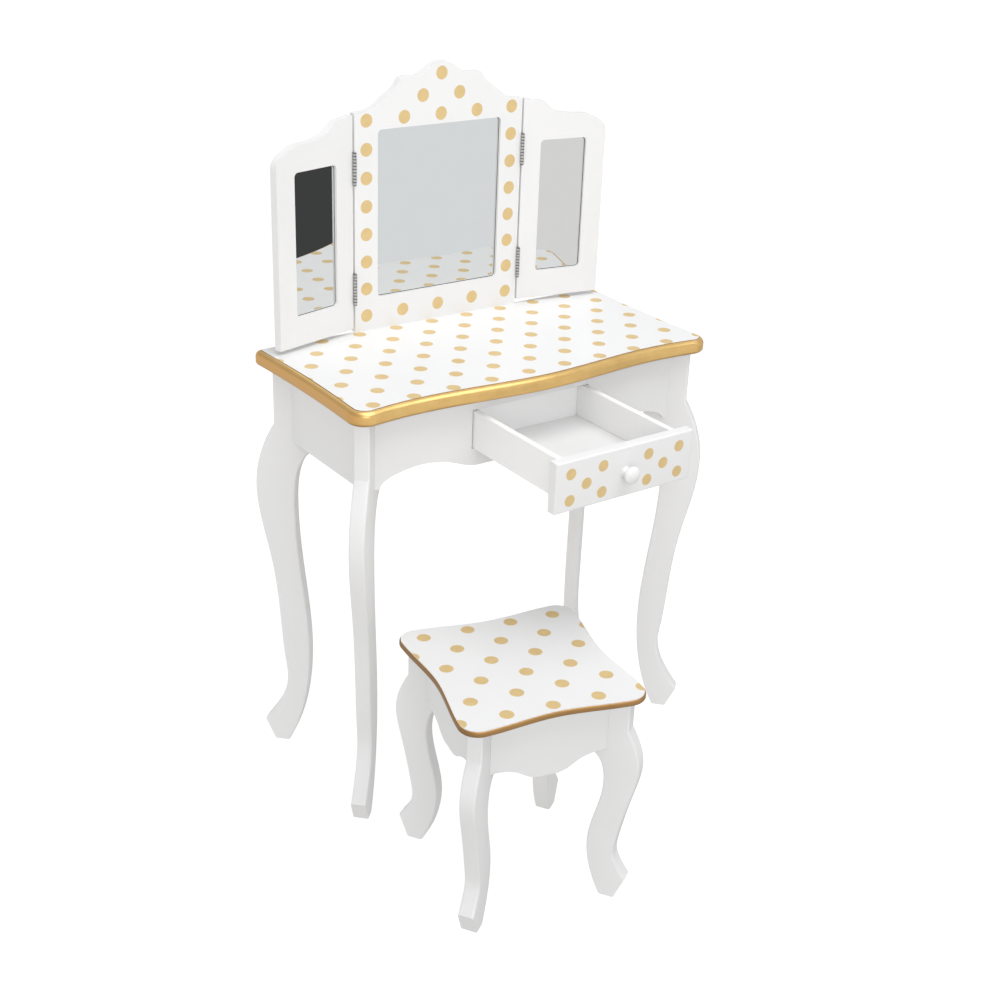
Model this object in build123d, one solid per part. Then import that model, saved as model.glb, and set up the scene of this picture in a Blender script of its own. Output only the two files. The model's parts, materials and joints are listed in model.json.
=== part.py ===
from build123d import *
import os
from math import cos, sin, radians, sqrt

# Child-size play dressing table with a three-leaf mirror, one drawer and a stool.
# Millimetres, +Z up, floor at z = 0, front towards -Y, right towards +X.
# While the parts are made, y = 0 is the front face of the middle mirror panel.

# ---------------------------------------------------------------- fits
SCREW_FIT = 0.05          # radial gap round a screw or bolt
PIN_FIT = 0.05            # radial running gap round a hinge pin
JOINT_FIT = 0.2           # gap between the sides of two hinge knuckles
GLASS_FIT = 0.5           # gap round glass and backing in a rebate
DRAWER_SIDE_FIT = 1.5     # gap on each side of the drawer in its opening
DRAWER_TOP_FIT = 1.0      # gap over the drawer's box in the opening
DRAWER_RUN_FIT = 0.3      # gap under the drawer over its runners
RAIL_FIT = 1.0            # gap under the drawer over the front rail

# ---------------------------------------------------------------- table
TABLE_HEIGHT = 635.0      # floor to the top of the table
TOP_WIDTH = 604.0
TOP_THICKNESS = 22.0
TOP_FRONT = 281.5         # front corners in front of the mirror's face
TOP_BACK = 12.0           # back edge behind the mirror's face
TOP_CORNER_R = 25.0
TOP_BACK_CORNER_R = 12.0
TOP_SIDE_WAIST = 5.0      # how far each side edge curves in
FRONT_HOLLOW = 10.0       # how far the front edge curves in beside the bow
FRONT_HOLLOW_X = 163.0
FRONT_BOW = 2.5           # how far the middle of the front stands past the corners
EDGE_WIDTH = 8.0          # moulded edging round the white top
EDGE_TOP_R = 6.0
EDGE_BOTTOM_R = 7.8
EDGE_QUIRK = 1.0          # small groove between the top and its edging

# ---------------------------------------------------------------- legs, shared
LEG_THICKNESS = 22.0
LEG_ROUND = 3.0           # softened long edges of a leg
HEEL_DEPTH = 45.5         # back of the ankle behind the block's outer face
ANKLE_HOLLOW = 7.0        # front of the ankle behind the block's outer face
TOE_HEIGHT = 34.0
FOOT_LENGTH = 21.0        # flat part of the foot on the floor

# ---------------------------------------------------------------- table legs
LEG_X = 282.0             # outer face of a leg's block, at its middle
LEG_FRONT_Y = -254.5
LEG_BACK_Y = -16.0
BLOCK_DROP = 103.0        # top of the table to the end of the straight block
BLOCK_DEPTH = 62.0
KNEE_OUT = 28.5
KNEE_DROP = 188.0
SHIN_DROP = 330.0
SHIN_OUT = 8.0
ANKLE_HEIGHT = 148.0
TOE_OUT = 26.5
CALF_DROP = 232.0
CALF_DEPTH = 28.0
TOE_UNDERCUT = 15.5       # toe to the front of the foot's flat

# ---------------------------------------------------------------- aprons
APRON_THICKNESS = 15.0
APRON_DROP = 128.0        # top of the table to the apron's lower edge
APRON_SETBACK = 11.5      # front and side aprons behind the legs' outer faces
BACK_SETBACK = 1.0        # back apron behind the back legs' outer faces
BACK_APRON_THICKNESS = 12.0
ARCH_RISE = 21.0          # the front apron's arches above its lower edge
ARCH_X = 168.0
ARCH_INNER_X = 90.0

# ---------------------------------------------------------------- drawer
OPENING_WIDTH = 200.0
OPENING_TOP_DROP = 45.0
OPENING_BOTTOM_DROP = 102.0
DRAWER_LENGTH = 213.0     # box behind the drawer front
DRAWER_KEPT = 20.0        # how much of the box stays behind the front apron's face when it is out
DRAWER_FRONT_WIDTH = 228.0
DRAWER_FRONT_HEIGHT = 71.0
DRAWER_FRONT_ROUND = 2.5
DRAWER_SIDE_ROUND = 1.2
DRAWER_FRONT_T = 15.0
DRAWER_TOP_DROP = 43.0     # top of the table to the top of the drawer front
DRAWER_SIDE_T = 9.0
DRAWER_BASE_T = 4.0
DRAWER_BASE_UP = 3.0      # under face of the base above the sides' lower edge
GROOVE_DEPTH = 4.0
KNOB_R = 12.0
KNOB_NECK_R = 6.5
KNOB_LENGTH = 21.0
RUNNER_T = 12.0
RUNNER_GUIDE_DROP = 62.0
STOP_DROP = 6.0
STOP_T = 4.5

# ---------------------------------------------------------------- mirrors
PANEL_T = 12.0
CENTRE_WIDTH = 286.0      # between the two hinge lines
CREST_HEIGHT = 373.6
SHOULDER_HEIGHT = 356.5
SHOULDER_INNER = 41.0
SHOULDER_OUTER = 62.0
SCROLL_X = 71.0
EAR_HEIGHT = 312.8
CENTRE_GLASS_WIDTH = 208.4
CENTRE_GLASS_HEIGHT = 239.7
GLASS_SILL = 48.3         # top of the table to the bottom of the glass
GLASS_CORNER_R = 6.0
WING_WIDTH = 141.3
WING_LIFT = 6.0           # gap between the wings and the table
WING_TOP = 311.0
WING_NOTCH = 35.0
WING_SADDLE_HEIGHT = 287.0
WING_SADDLE_X = 74.0
WING_SHOULDER_X = 102.0
WING_END_HEIGHT = 255.0
WING_GLASS_X = 32.2
WING_GLASS_WIDTH = 77.2
WING_GLASS_HEIGHT = 200.4
LEFT_OPEN = 14.4          # degrees each wing is turned forward
RIGHT_OPEN = 9.1
LIP_T = 4.5               # frame in front of the glass
GLASS_T = 3.0
BACKING_T = 3.0
REBATE = 8.0              # how much wider the rebate is than the opening, each side

# ---------------------------------------------------------------- hinges
HINGE_LENGTH = 45.0
HINGE_LOW = 43.0          # lower end of the bottom hinges above the table
HINGE_HIGH = 215.5        # lower end of the top hinges above the table
KNUCKLES = 5
KNUCKLE_R = 2.6
PIN_R = 1.25
PIN_HEAD_R = 2.1
PIN_HEAD_T = 1.0
LEAF_T = 1.2
LEAF_WIDTH = 11.0
LEAF_GAP = 0.2            # between the two leaves when a wing is flat
AXIS_FORWARD = 2.8        # pin in front of the panel's face

# ---------------------------------------------------------------- fixings
BRACE_FIT = 0.5           # gap between a corner block and the aprons
BLOCK_BRACE_T = 18.0
BLOCK_BRACE_HEIGHT = 45.0
BOLT_R = 3.0
BOLT_IN_LEG = 28.0
NUT_R = 6.5
NUT_T = 5.0
WASHER_R = 9.0
WASHER_T = 1.5
TOP_SCREW_R = 2.0
TOP_SCREW_HEAD_R = 4.0
TOP_SCREW_HEAD_T = 2.5
TOP_SCREW_BITE = 12.0
SMALL_SCREW_R = 1.2
SMALL_HEAD_R = 2.4
SMALL_HEAD_T = 0.7
SMALL_SCREW_LENGTH = 12.0
CLIP_LENGTH = 16.0
CLIP_WIDTH = 9.0
CLIP_T = 1.0
CLIP_HEAD_R = 3.2
CLIP_HEAD_T = 1.4
CLIP_SCREW_LENGTH = 8.0
PLATE_WIDTH = 18.0
PLATE_T = 2.0
PLATE_UP = 40.0           # how far a plate reaches up the mirror's back
PLATE_X = 95.0
PLATE_HOLE_END = 7.0      # hole centre from a plate's end
DOWEL_R = 4.0
DOWEL_LENGTH = 24.0
DOWEL_X = 60.0

# ---------------------------------------------------------------- stool
STOOL_HEIGHT = 322.0
STOOL_WIDTH = 257.0
STOOL_DEPTH = 260.0
STOOL_TOP_T = 9.0
STOOL_HOLLOW = 10.0        # how far each edge of the seat curves in
STOOL_CORNER_R = 26.0
STOOL_FLARE = 0.8         # edge inside its corner, where the hollow begins
STOOL_FLARE_AT = 91.0     # distance of that point from the edge's middle
STOOL_EDGE_W = 2.0
STOOL_EDGE_ROUND = 1.2
STOOL_LEG_X = 109.5       # stool centre to the outer face of a leg's block
STOOL_LEG_Y = 113.0
STOOL_BLOCK_DROP = 55.0
STOOL_BLOCK_DEPTH = 46.0
STOOL_KNEE_OUT = 18.0
STOOL_KNEE_DROP = 108.0
STOOL_SHIN_DROP = 160.0
STOOL_SHIN_OUT = 9.0
STOOL_ANKLE_HEIGHT = 86.0
STOOL_TOE_OUT = 11.0
STOOL_TOE_UNDERCUT = 14.0
STOOL_CALF_DROP = 122.0
STOOL_CALF_DEPTH = 31.0
STOOL_APRON_T = 12.0
STOOL_APRON_DROP = 91.0
STOOL_PENDANT = 17.0      # middle of an apron below its ends
STOOL_APRON_SETBACK = 11.5
STOOL_X = -164.0
STOOL_Y = -459.0
STOOL_TURN = -12.2
STOOL_BRACE_HEIGHT = 40.0

# ---------------------------------------------------------------- derived places
UNDER_TOP = TABLE_HEIGHT - TOP_THICKNESS
DRAWER_OPEN = DRAWER_LENGTH - DRAWER_KEPT
PANEL_EDGE = CENTRE_WIDTH / 2 - LEAF_T - LEAF_GAP / 2
FRONT_FACE_Y = LEG_FRONT_Y + APRON_SETBACK
SIDE_FACE_X = LEG_X - APRON_SETBACK
BACK_FACE_Y = LEG_BACK_Y - BACK_SETBACK
HALF_BOARD = LEG_THICKNESS / 2 / sqrt(2)
LEG_SPOTS = [(-1, -1), (1, -1), (-1, 1), (1, 1)]
EPS = 0.01


# ---------------------------------------------------------------- small helpers
def box(x0, x1, y0, y1, z0, z1):
    """Block between two opposite corners."""
    centre = ((x0 + x1) / 2, (y0 + y1) / 2, (z0 + z1) / 2)
    return Pos(*centre) * Box(abs(x1 - x0), abs(y1 - y0), abs(z1 - z0))


def rod(radius, start, end):
    """Cylinder between two points."""
    a = Vector(*start)
    b = Vector(*end)
    plane = Plane(origin=a, z_dir=b - a)
    return extrude(plane * Circle(radius), amount=(b - a).length)


def slab(edges, plane, amount):
    """Flat board whose outline is a closed run of edges."""
    return extrude(plane * make_face(edges), amount=amount)


def join(shapes):
    """One shape that holds several separate solids."""
    solids = [solid for shape in shapes for solid in shape.solids()]
    return Compound(solids)


def flip(shape):
    """The same piece on the other side of the middle."""
    return join([mirror(solid, about=Plane.YZ) for solid in shape.solids()])


def screw(radius, head_r, head_t, length, point, direction):
    """Screw whose head's top is at point and which runs along direction."""
    p = Vector(*point)
    d = Vector(*direction).normalized()
    head = rod(head_r, p, p + d * head_t)
    return head + rod(radius, p + d * (head_t - EPS), p + d * length)


def screw_hole(radius, length, point, direction):
    """Hole that a screw's shank goes in, with its fit."""
    p = Vector(*point)
    d = Vector(*direction).normalized()
    return rod(radius + SCREW_FIT, p - d * 0.5, p + d * (length + 1.0))


# ---------------------------------------------------------------- table top
def top_outline(inset, thickness, z_top):
    """Board with a bowed front and waisted sides, set in from the edge."""
    w = TOP_WIDTH / 2 - inset
    waist = w - TOP_SIDE_WAIST
    front = -TOP_FRONT + inset
    back = TOP_BACK - inset
    middle = (front + back) / 2
    hollow = front + FRONT_HOLLOW
    bow = front - FRONT_BOW
    edges = [
        Spline((-w, front), (-FRONT_HOLLOW_X, hollow), (0, bow), (FRONT_HOLLOW_X, hollow), (w, front)),
        Spline((w, front), (waist, middle), (w, back)),
        Line((w, back), (-w, back)),
        Spline((-w, back), (-waist, middle), (-w, front)),
    ]
    board = slab(edges, Plane.XY.offset(z_top), -thickness)
    board = fillet(board.edges().filter_by(Axis.Z).sort_by(Axis.Y)[:2], TOP_CORNER_R - inset)
    return fillet(board.edges().filter_by(Axis.Z).sort_by(Axis.Y)[-2:], TOP_BACK_CORNER_R - inset)


def make_top():
    core = top_outline(EDGE_WIDTH, TOP_THICKNESS, TABLE_HEIGHT)
    outer = top_outline(0, TOP_THICKNESS, TABLE_HEIGHT)
    outer = fillet(outer.faces().sort_by(Axis.Z)[-1].edges(), EDGE_TOP_R)
    outer = fillet(outer.faces().sort_by(Axis.Z)[0].edges(), EDGE_BOTTOM_R)
    cutter = top_outline(EDGE_WIDTH, TOP_THICKNESS + 2, TABLE_HEIGHT + 1)
    edging = outer - cutter
    core = chamfer(core.faces().sort_by(Axis.Z)[-1].edges(), EDGE_QUIRK)
    return core, edging


# ---------------------------------------------------------------- legs
def leg_profile(top, block_end, depth, knee, shin, ankle_z, toe, undercut, calf, inner_end):
    """Side view of a scroll-shaped leg: x outwards from the block's face, y up."""
    knee_out, knee_z = knee
    shin_out, shin_z = shin
    calf_in, calf_z = calf
    sole_front = toe - undercut
    sole_back = sole_front - FOOT_LENGTH
    front = Spline((0, block_end), (knee_out, knee_z), (shin_out, shin_z), (-ANKLE_HOLLOW, ankle_z),
                   (toe, TOE_HEIGHT), tangents=[(0.6, -1), (0.75, -1)])
    back = Spline((sole_back, 0), (-HEEL_DEPTH, ankle_z + 6), (-calf_in, calf_z), (-depth, inner_end),
                  tangents=[(-0.55, 1), (-1, 0.55)])
    return [
        Line((0, top), (0, block_end)),
        front,
        Line((toe, TOE_HEIGHT), (sole_front, 0)),
        Line((sole_front, 0), (sole_back, 0)),
        back,
        Line((-depth, inner_end), (-depth, top)),
        Line((-depth, top), (0, top)),
    ]


def leg_board(edges):
    """The profile cut from a board, its long front and back edges softened."""
    board = slab(edges, Plane.XZ, LEG_THICKNESS / 2)
    board = board + mirror(board, about=Plane.XZ)
    long_edges = [e for e in board.edges() if abs(abs(e.center().Y) - LEG_THICKNESS / 2) < EPS
                  and e.center().X > -HEEL_DEPTH - 2
                  and e.bounding_box().size.Z > TOE_HEIGHT + 5]
    return fillet(long_edges, LEG_ROUND)


def place_leg(board, sx, sy, x, y):
    """Turn a leg so it points out at a corner, with its block's face at (x, y)."""
    angle = {(1, 1): 45, (-1, 1): 135, (-1, -1): 225, (1, -1): 315}[(sx, sy)]
    return Pos(x, y, 0) * Rot(0, 0, angle) * board


def table_leg_board():
    t = TABLE_HEIGHT
    edges = leg_profile(UNDER_TOP, t - BLOCK_DROP, BLOCK_DEPTH, (KNEE_OUT, t - KNEE_DROP),
                        (SHIN_OUT, t - SHIN_DROP), ANKLE_HEIGHT, TOE_OUT, TOE_UNDERCUT,
                        (CALF_DEPTH, t - CALF_DROP), t - APRON_DROP - 8)
    return leg_board(edges)


def stool_leg_board():
    t = STOOL_HEIGHT
    edges = leg_profile(t - STOOL_TOP_T, t - STOOL_BLOCK_DROP, STOOL_BLOCK_DEPTH,
                        (STOOL_KNEE_OUT, t - STOOL_KNEE_DROP), (STOOL_SHIN_OUT, t - STOOL_SHIN_DROP),
                        STOOL_ANKLE_HEIGHT, STOOL_TOE_OUT, STOOL_TOE_UNDERCUT,
                        (STOOL_CALF_DEPTH, t - STOOL_CALF_DROP), t - STOOL_APRON_DROP - 6)
    return leg_board(edges)


# ---------------------------------------------------------------- aprons
def between_legs(half_x, face, thickness, z0, z1, leg_mid):
    """Rail along X whose mitred ends lie flat on the legs' broad faces.

    half_x and leg_mid are the place of the outer face of a leg's block, and
    face is the rail's outer face, all measured outwards."""
    reach = half_x - HALF_BOARD - (leg_mid + HALF_BOARD - face)
    short = reach - thickness
    corners = [(-reach, -face), (reach, -face), (short, -face + thickness), (-short, -face + thickness)]
    lines = [Line(corners[i], corners[(i + 1) % 4]) for i in range(4)]
    return slab(lines, Plane.XY.offset(z0), z1 - z0)


def arch_cutter(z_low, rise, inner, peak, outer, depth):
    """Cutter for one rounded arch in a rail's lower edge, on the +X side."""
    curve = Spline((inner, z_low), ((inner + peak) / 2, z_low + 0.62 * rise), (peak, z_low + rise),
                   ((peak + outer) / 2, z_low + 0.86 * rise), (outer, z_low), tangents=[(1, 0.1), (0.35, -1)])
    lines = [curve, Line((outer, z_low), (outer, z_low - 5)), Line((outer, z_low - 5), (inner, z_low - 5)),
             Line((inner, z_low - 5), (inner, z_low))]
    return slab(lines, Plane.XZ, depth)


def make_aprons():
    z0 = TABLE_HEIGHT - APRON_DROP
    mid_y = (LEG_FRONT_Y + LEG_BACK_Y) / 2
    half_y = (LEG_BACK_Y - LEG_FRONT_Y) / 2
    front = between_legs(LEG_X, -FRONT_FACE_Y, APRON_THICKNESS, z0, UNDER_TOP, -LEG_FRONT_Y)
    gap = box(-OPENING_WIDTH / 2, OPENING_WIDTH / 2, FRONT_FACE_Y - 1, FRONT_FACE_Y + APRON_THICKNESS + 1,
              TABLE_HEIGHT - OPENING_BOTTOM_DROP, TABLE_HEIGHT - OPENING_TOP_DROP)
    arch = arch_cutter(z0, ARCH_RISE, ARCH_INNER_X, ARCH_X + 8, LEG_X - 34, LEG_X * 2)
    front = front - gap - arch - flip(arch)
    side = between_legs(half_y, SIDE_FACE_X, APRON_THICKNESS, z0, UNDER_TOP, LEG_X)
    left = Pos(0, mid_y, 0) * Rot(0, 0, -90) * side
    right = Pos(0, mid_y, 0) * Rot(0, 0, 90) * side
    back = between_legs(LEG_X, half_y - BACK_SETBACK, BACK_APRON_THICKNESS, z0, UNDER_TOP, half_y)
    back = Pos(0, mid_y, 0) * Rot(0, 0, 180) * back
    return front, left, right, back


# ---------------------------------------------------------------- corner braces
def brace_length(depth, apron_inner):
    """Longest block that fits across a corner between two aprons' inner faces."""
    return 2 * (depth - sqrt(2) * apron_inner - BRACE_FIT)


def brace_set(centre, half_x, half_y, depth, length, thick, height, z_top):
    """Blocks across the inside corners with the bolts that hold the legs."""
    blocks = []
    bolts = []
    holes = []
    for sx, sy in LEG_SPOTS:
        out = Vector(sx, sy, 0).normalized()
        face = Vector(centre[0] + sx * half_x, centre[1] + sy * half_y, z_top - height / 2)
        inner = face - out * depth
        turn = 45 if sx * sy > 0 else -45
        mid = inner - out * (thick / 2)
        block = Pos(mid.X, mid.Y, mid.Z) * Rot(0, 0, turn) * Box(thick, length, height)
        back = inner - out * thick
        tip = inner + out * BOLT_IN_LEG
        end = back - out * (WASHER_T + NUT_T + 2)
        hole = rod(BOLT_R + SCREW_FIT, end, tip + out * 1)
        washer = rod(WASHER_R, back, back - out * WASHER_T)
        nut_plane = Plane(origin=back - out * WASHER_T, z_dir=out * -1)
        nut = extrude(nut_plane * RegularPolygon(NUT_R, 6), amount=NUT_T)
        bolts.append(rod(BOLT_R, end, tip) + washer + nut)
        blocks.append(block - hole)
        holes.append(hole)
    return blocks, bolts, holes


def block_screw_points(centre, half_x, half_y, depth, thick, offset, z):
    """Where the screws go up through each corner block into the top."""
    points = []
    for sx, sy in LEG_SPOTS:
        out = Vector(sx, sy, 0).normalized()
        along = Vector(-sy, sx, 0).normalized()
        mid = Vector(centre[0] + sx * half_x, centre[1] + sy * half_y, z) - out * (depth + thick / 2)
        points.append(mid + along * offset)
        points.append(mid - along * offset)
    return points


# ---------------------------------------------------------------- drawer
def make_drawer():
    top = TABLE_HEIGHT - DRAWER_TOP_DROP
    box_top = TABLE_HEIGHT - OPENING_TOP_DROP - DRAWER_TOP_FIT
    bottom = TABLE_HEIGHT - OPENING_BOTTOM_DROP + RAIL_FIT
    back_of_front = FRONT_FACE_Y - DRAWER_OPEN
    rear = back_of_front + DRAWER_LENGTH
    half = OPENING_WIDTH / 2 - DRAWER_SIDE_FIT
    inner = half - DRAWER_SIDE_T
    face_y = back_of_front - DRAWER_FRONT_T
    front = box(-DRAWER_FRONT_WIDTH / 2, DRAWER_FRONT_WIDTH / 2, face_y, back_of_front,
                top - DRAWER_FRONT_HEIGHT, top)
    front = fillet(front.faces().sort_by(Axis.Y)[0].edges(), DRAWER_FRONT_ROUND)
    groove = inner + GROOVE_DEPTH
    base_z = bottom + DRAWER_BASE_UP
    base = box(-groove + EPS, groove - EPS, back_of_front, rear - DRAWER_SIDE_T, base_z, base_z + DRAWER_BASE_T)
    slot = box(-groove, groove, back_of_front, rear - DRAWER_SIDE_T + EPS, base_z, base_z + DRAWER_BASE_T)
    right = box(inner, half, back_of_front, rear, bottom, box_top) - slot
    right = fillet(right.faces().sort_by(Axis.Z)[-1].edges().filter_by(Axis.Y), DRAWER_SIDE_ROUND)
    left = flip(right)
    back = box(-inner, inner, rear - DRAWER_SIDE_T, rear, bottom + DRAWER_BASE_UP, box_top)
    stop_y = FRONT_FACE_Y + APRON_THICKNESS + 0.3
    stop = box(-inner + 12, inner - 12, stop_y, stop_y + STOP_T, bottom - STOP_DROP, base_z)
    knob_z = top - DRAWER_FRONT_HEIGHT / 2
    front = front - screw_hole(TOP_SCREW_R, DRAWER_FRONT_T + 2, (0, back_of_front, knob_z), (0, -1, 0))
    screw_length = DRAWER_FRONT_T + KNOB_LENGTH * 0.5 + TOP_SCREW_HEAD_T
    fixing = screw(TOP_SCREW_R, TOP_SCREW_HEAD_R, TOP_SCREW_HEAD_T, screw_length,
                   (0, back_of_front + TOP_SCREW_HEAD_T, knob_z), (0, -1, 0))
    knob = make_knob(face_y, knob_z)
    knob = knob - screw_hole(TOP_SCREW_R, screw_length, (0, back_of_front, knob_z), (0, -1, 0))
    return front, left, right, back, base, stop, knob, fixing


def make_knob(face_y, z):
    """Turned knob: foot, neck and rounded head."""
    foot = KNOB_NECK_R + 1.5
    profile = [
        Line((0, 0), (foot, 0)),
        Spline((foot, 0), (KNOB_NECK_R, KNOB_LENGTH * 0.3), (KNOB_R, KNOB_LENGTH * 0.68),
               tangents=[(-0.3, 1), (0.1, 1)]),
        Spline((KNOB_R, KNOB_LENGTH * 0.68), (KNOB_R * 0.7, KNOB_LENGTH * 0.94), (0, KNOB_LENGTH),
               tangents=[(0.0, 1), (-1, 0)]),
        Line((0, KNOB_LENGTH), (0, 0)),
    ]
    turned = revolve(make_face(profile), axis=Axis.Y)
    return Pos(0, face_y, z) * Rot(180, 0, 0) * turned


def make_runner():
    """Ledge and guide beside the drawer, from the front apron to the back one."""
    y0 = FRONT_FACE_Y + APRON_THICKNESS
    y1 = BACK_FACE_Y - BACK_APRON_THICKNESS
    z_ledge = TABLE_HEIGHT - OPENING_BOTTOM_DROP + RAIL_FIT - DRAWER_RUN_FIT
    inner = OPENING_WIDTH / 2 - DRAWER_SIDE_FIT - DRAWER_SIDE_T
    outer = OPENING_WIDTH / 2
    ledge = box(inner, outer + RUNNER_T, y0, y1, z_ledge - RUNNER_T, z_ledge)
    guide = box(outer, outer + RUNNER_T, y0, y1, z_ledge - EPS, TABLE_HEIGHT - RUNNER_GUIDE_DROP)
    return ledge + guide


# ---------------------------------------------------------------- mirror panels
def frame_cut(x0, x1, z0, z1, y0, y1, radius):
    """Rounded window through a panel."""
    block = box(x0, x1, y0, y1, z0, z1)
    return fillet(block.edges().filter_by(Axis.Y), radius)


def glazing(x0, x1, z0, z1):
    """Window, rebate, glass and backing for one panel."""
    window = frame_cut(x0, x1, z0, z1, -1, PANEL_T + 1, GLASS_CORNER_R)
    rebate = box(x0 - REBATE, x1 + REBATE, LIP_T, PANEL_T + 1, z0 - REBATE, z1 + REBATE)
    edge = REBATE - GLASS_FIT
    glass = box(x0 - edge, x1 + edge, LIP_T, LIP_T + GLASS_T, z0 - edge, z1 + edge)
    backing_y = LIP_T + GLASS_T
    backing = box(x0 - edge, x1 + edge, backing_y, backing_y + BACKING_T, z0 - edge, z1 + edge)
    return window, rebate, glass, backing


def clips(points):
    """Small plates that hold the backing in, each with its screw.

    A clip's plate bends down into the rebate, so it reaches the backing."""
    plates = []
    screws = []
    holes = []
    step = PANEL_T - LIP_T - GLASS_T - BACKING_T
    for (x, z, dx, dz) in points:
        wide = CLIP_WIDTH / 2
        half = CLIP_LENGTH / 2
        if dx:
            plate = box(x - half, x + half, PANEL_T, PANEL_T + CLIP_T, z - wide, z + wide)
            foot = box(x + dx * (half - 3), x + dx * half, PANEL_T - step, PANEL_T + EPS, z - wide, z + wide)
        else:
            plate = box(x - wide, x + wide, PANEL_T, PANEL_T + CLIP_T, z - half, z + half)
            foot = box(x - wide, x + wide, PANEL_T - step, PANEL_T + EPS, z + dz * (half - 3), z + dz * half)
        head = (x, PANEL_T + CLIP_T + CLIP_HEAD_T, z)
        length = CLIP_SCREW_LENGTH + CLIP_T + CLIP_HEAD_T
        hole = screw_hole(SMALL_SCREW_R, length, (x, PANEL_T + CLIP_T, z), (0, -1, 0))
        plates.append(plate + foot - hole)
        screws.append(screw(SMALL_SCREW_R, CLIP_HEAD_R, CLIP_HEAD_T, length, head, (0, -1, 0)))
        holes.append(hole)
    return plates, screws, holes


def clip_points(x0, x1, z0, z1, rows):
    """Clips beside the rebate's two upright sides, and one above and below."""
    gap = REBATE + CLIP_LENGTH / 2 - 6
    points = []
    for k in range(rows):
        z = z0 + (z1 - z0) * (k + 0.5) / rows
        points.append((x0 - gap, z, 1, 0))
        points.append((x1 + gap, z, -1, 0))
    middle = (x0 + x1) / 2
    points.append((middle, z0 - gap, 0, 1))
    points.append((middle, z1 + gap, 0, -1))
    return points


def centre_outline():
    """Front view of the middle panel, with its raised crest."""
    t = TABLE_HEIGHT
    w = PANEL_EDGE
    ear = t + EAR_HEIGHT
    shoulder = t + SHOULDER_HEIGHT
    crest = t + CREST_HEIGHT
    edges = [Line((-w, t), (w, t)), Line((w, t), (w, ear))]
    for side in (1, -1):
        flank = Spline((side * w, ear), (side * 113, ear + 5), (side * 88, ear + 22), (side * SCROLL_X, shoulder - 7),
                       tangents=[(-side * 1, 0.08), (-side * 0.6, 1)])
        lip = Spline((side * SCROLL_X, shoulder - 7), (side * (SCROLL_X - 3.2), shoulder - 2.2),
                     (side * SHOULDER_OUTER, shoulder), tangents=[(-side * 0.6, 1), (-side * 1, 0)])
        flat = Line((side * SHOULDER_OUTER, shoulder), (side * SHOULDER_INNER, shoulder))
        swell = Spline((side * SHOULDER_INNER, shoulder), (side * 29, shoulder + 5.5), (0, crest),
                       tangents=[(-side * 1, 0.15), (-side * 1, 0)])
        edges += [flank, lip, flat, swell]
    edges.append(Line((-w, ear), (-w, t)))
    return edges


def hinge_lows():
    return [TABLE_HEIGHT + HINGE_LOW, TABLE_HEIGHT + HINGE_HIGH]


def leaf_screw_heights(low):
    return [low + HINGE_LENGTH * 0.2, low + HINGE_LENGTH * 0.8]


def make_centre():
    t = TABLE_HEIGHT
    board = slab(centre_outline(), Plane.XZ, -PANEL_T)
    x1 = CENTRE_GLASS_WIDTH / 2
    z0 = t + GLASS_SILL
    z1 = z0 + CENTRE_GLASS_HEIGHT
    window, rebate, glass, backing = glazing(-x1, x1, z0, z1)
    board = board - window - rebate
    plates, screws, holes = clips(clip_points(-x1, x1, z0, z1, 3))
    for hole in holes:
        board = board - hole
    for low in hinge_lows():
        for z in leaf_screw_heights(low):
            hole = screw_hole(SMALL_SCREW_R, SMALL_SCREW_LENGTH, (PANEL_EDGE, PANEL_T / 2, z), (-1, 0, 0))
            board = board - hole - flip(hole)
    return board, glass, backing, join(plates), join(screws)


def wing_outline():
    """Front view of the right wing, hinge line at x = 0, lower towards its free side."""
    t = TABLE_HEIGHT
    x0 = LEAF_T + LEAF_GAP / 2
    x1 = WING_WIDTH
    low = t + WING_LIFT
    top = t + WING_TOP
    notch = top - 4.8
    saddle = t + WING_SADDLE_HEIGHT
    shoulder = saddle - 2
    return [
        Line((x0, low), (x1, low)),
        Line((x1, low), (x1, t + WING_END_HEIGHT)),
        Spline((x1, t + WING_END_HEIGHT), (126, t + 277), (WING_SHOULDER_X, shoulder),
               tangents=[(0, 1), (-1, 0.06)]),
        Spline((WING_SHOULDER_X, shoulder), (WING_SADDLE_X, saddle), (50, t + 294), (WING_NOTCH, notch),
               tangents=[(-1, 0.03), (-0.9, 1)]),
        Spline((WING_NOTCH, notch), (x0, top), tangents=[(-1, 0.1), (-1, 0.15)]),
        Line((x0, top), (x0, low)),
    ]


def make_wing():
    """Right wing, flat, with its hinge line at x = 0."""
    board = slab(wing_outline(), Plane.XZ, -PANEL_T)
    x0 = WING_GLASS_X
    x1 = x0 + WING_GLASS_WIDTH
    z0 = TABLE_HEIGHT + GLASS_SILL
    z1 = z0 + WING_GLASS_HEIGHT
    window, rebate, glass, backing = glazing(x0, x1, z0, z1)
    board = board - window - rebate
    plates, screws, holes = clips(clip_points(x0, x1, z0, z1, 2))
    for hole in holes:
        board = board - hole
    edge = LEAF_T + LEAF_GAP / 2
    for low in hinge_lows():
        for z in leaf_screw_heights(low):
            board = board - screw_hole(SMALL_SCREW_R, SMALL_SCREW_LENGTH, (edge, PANEL_T / 2, z), (1, 0, 0))
    return board, glass, backing, join(plates), join(screws)


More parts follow.
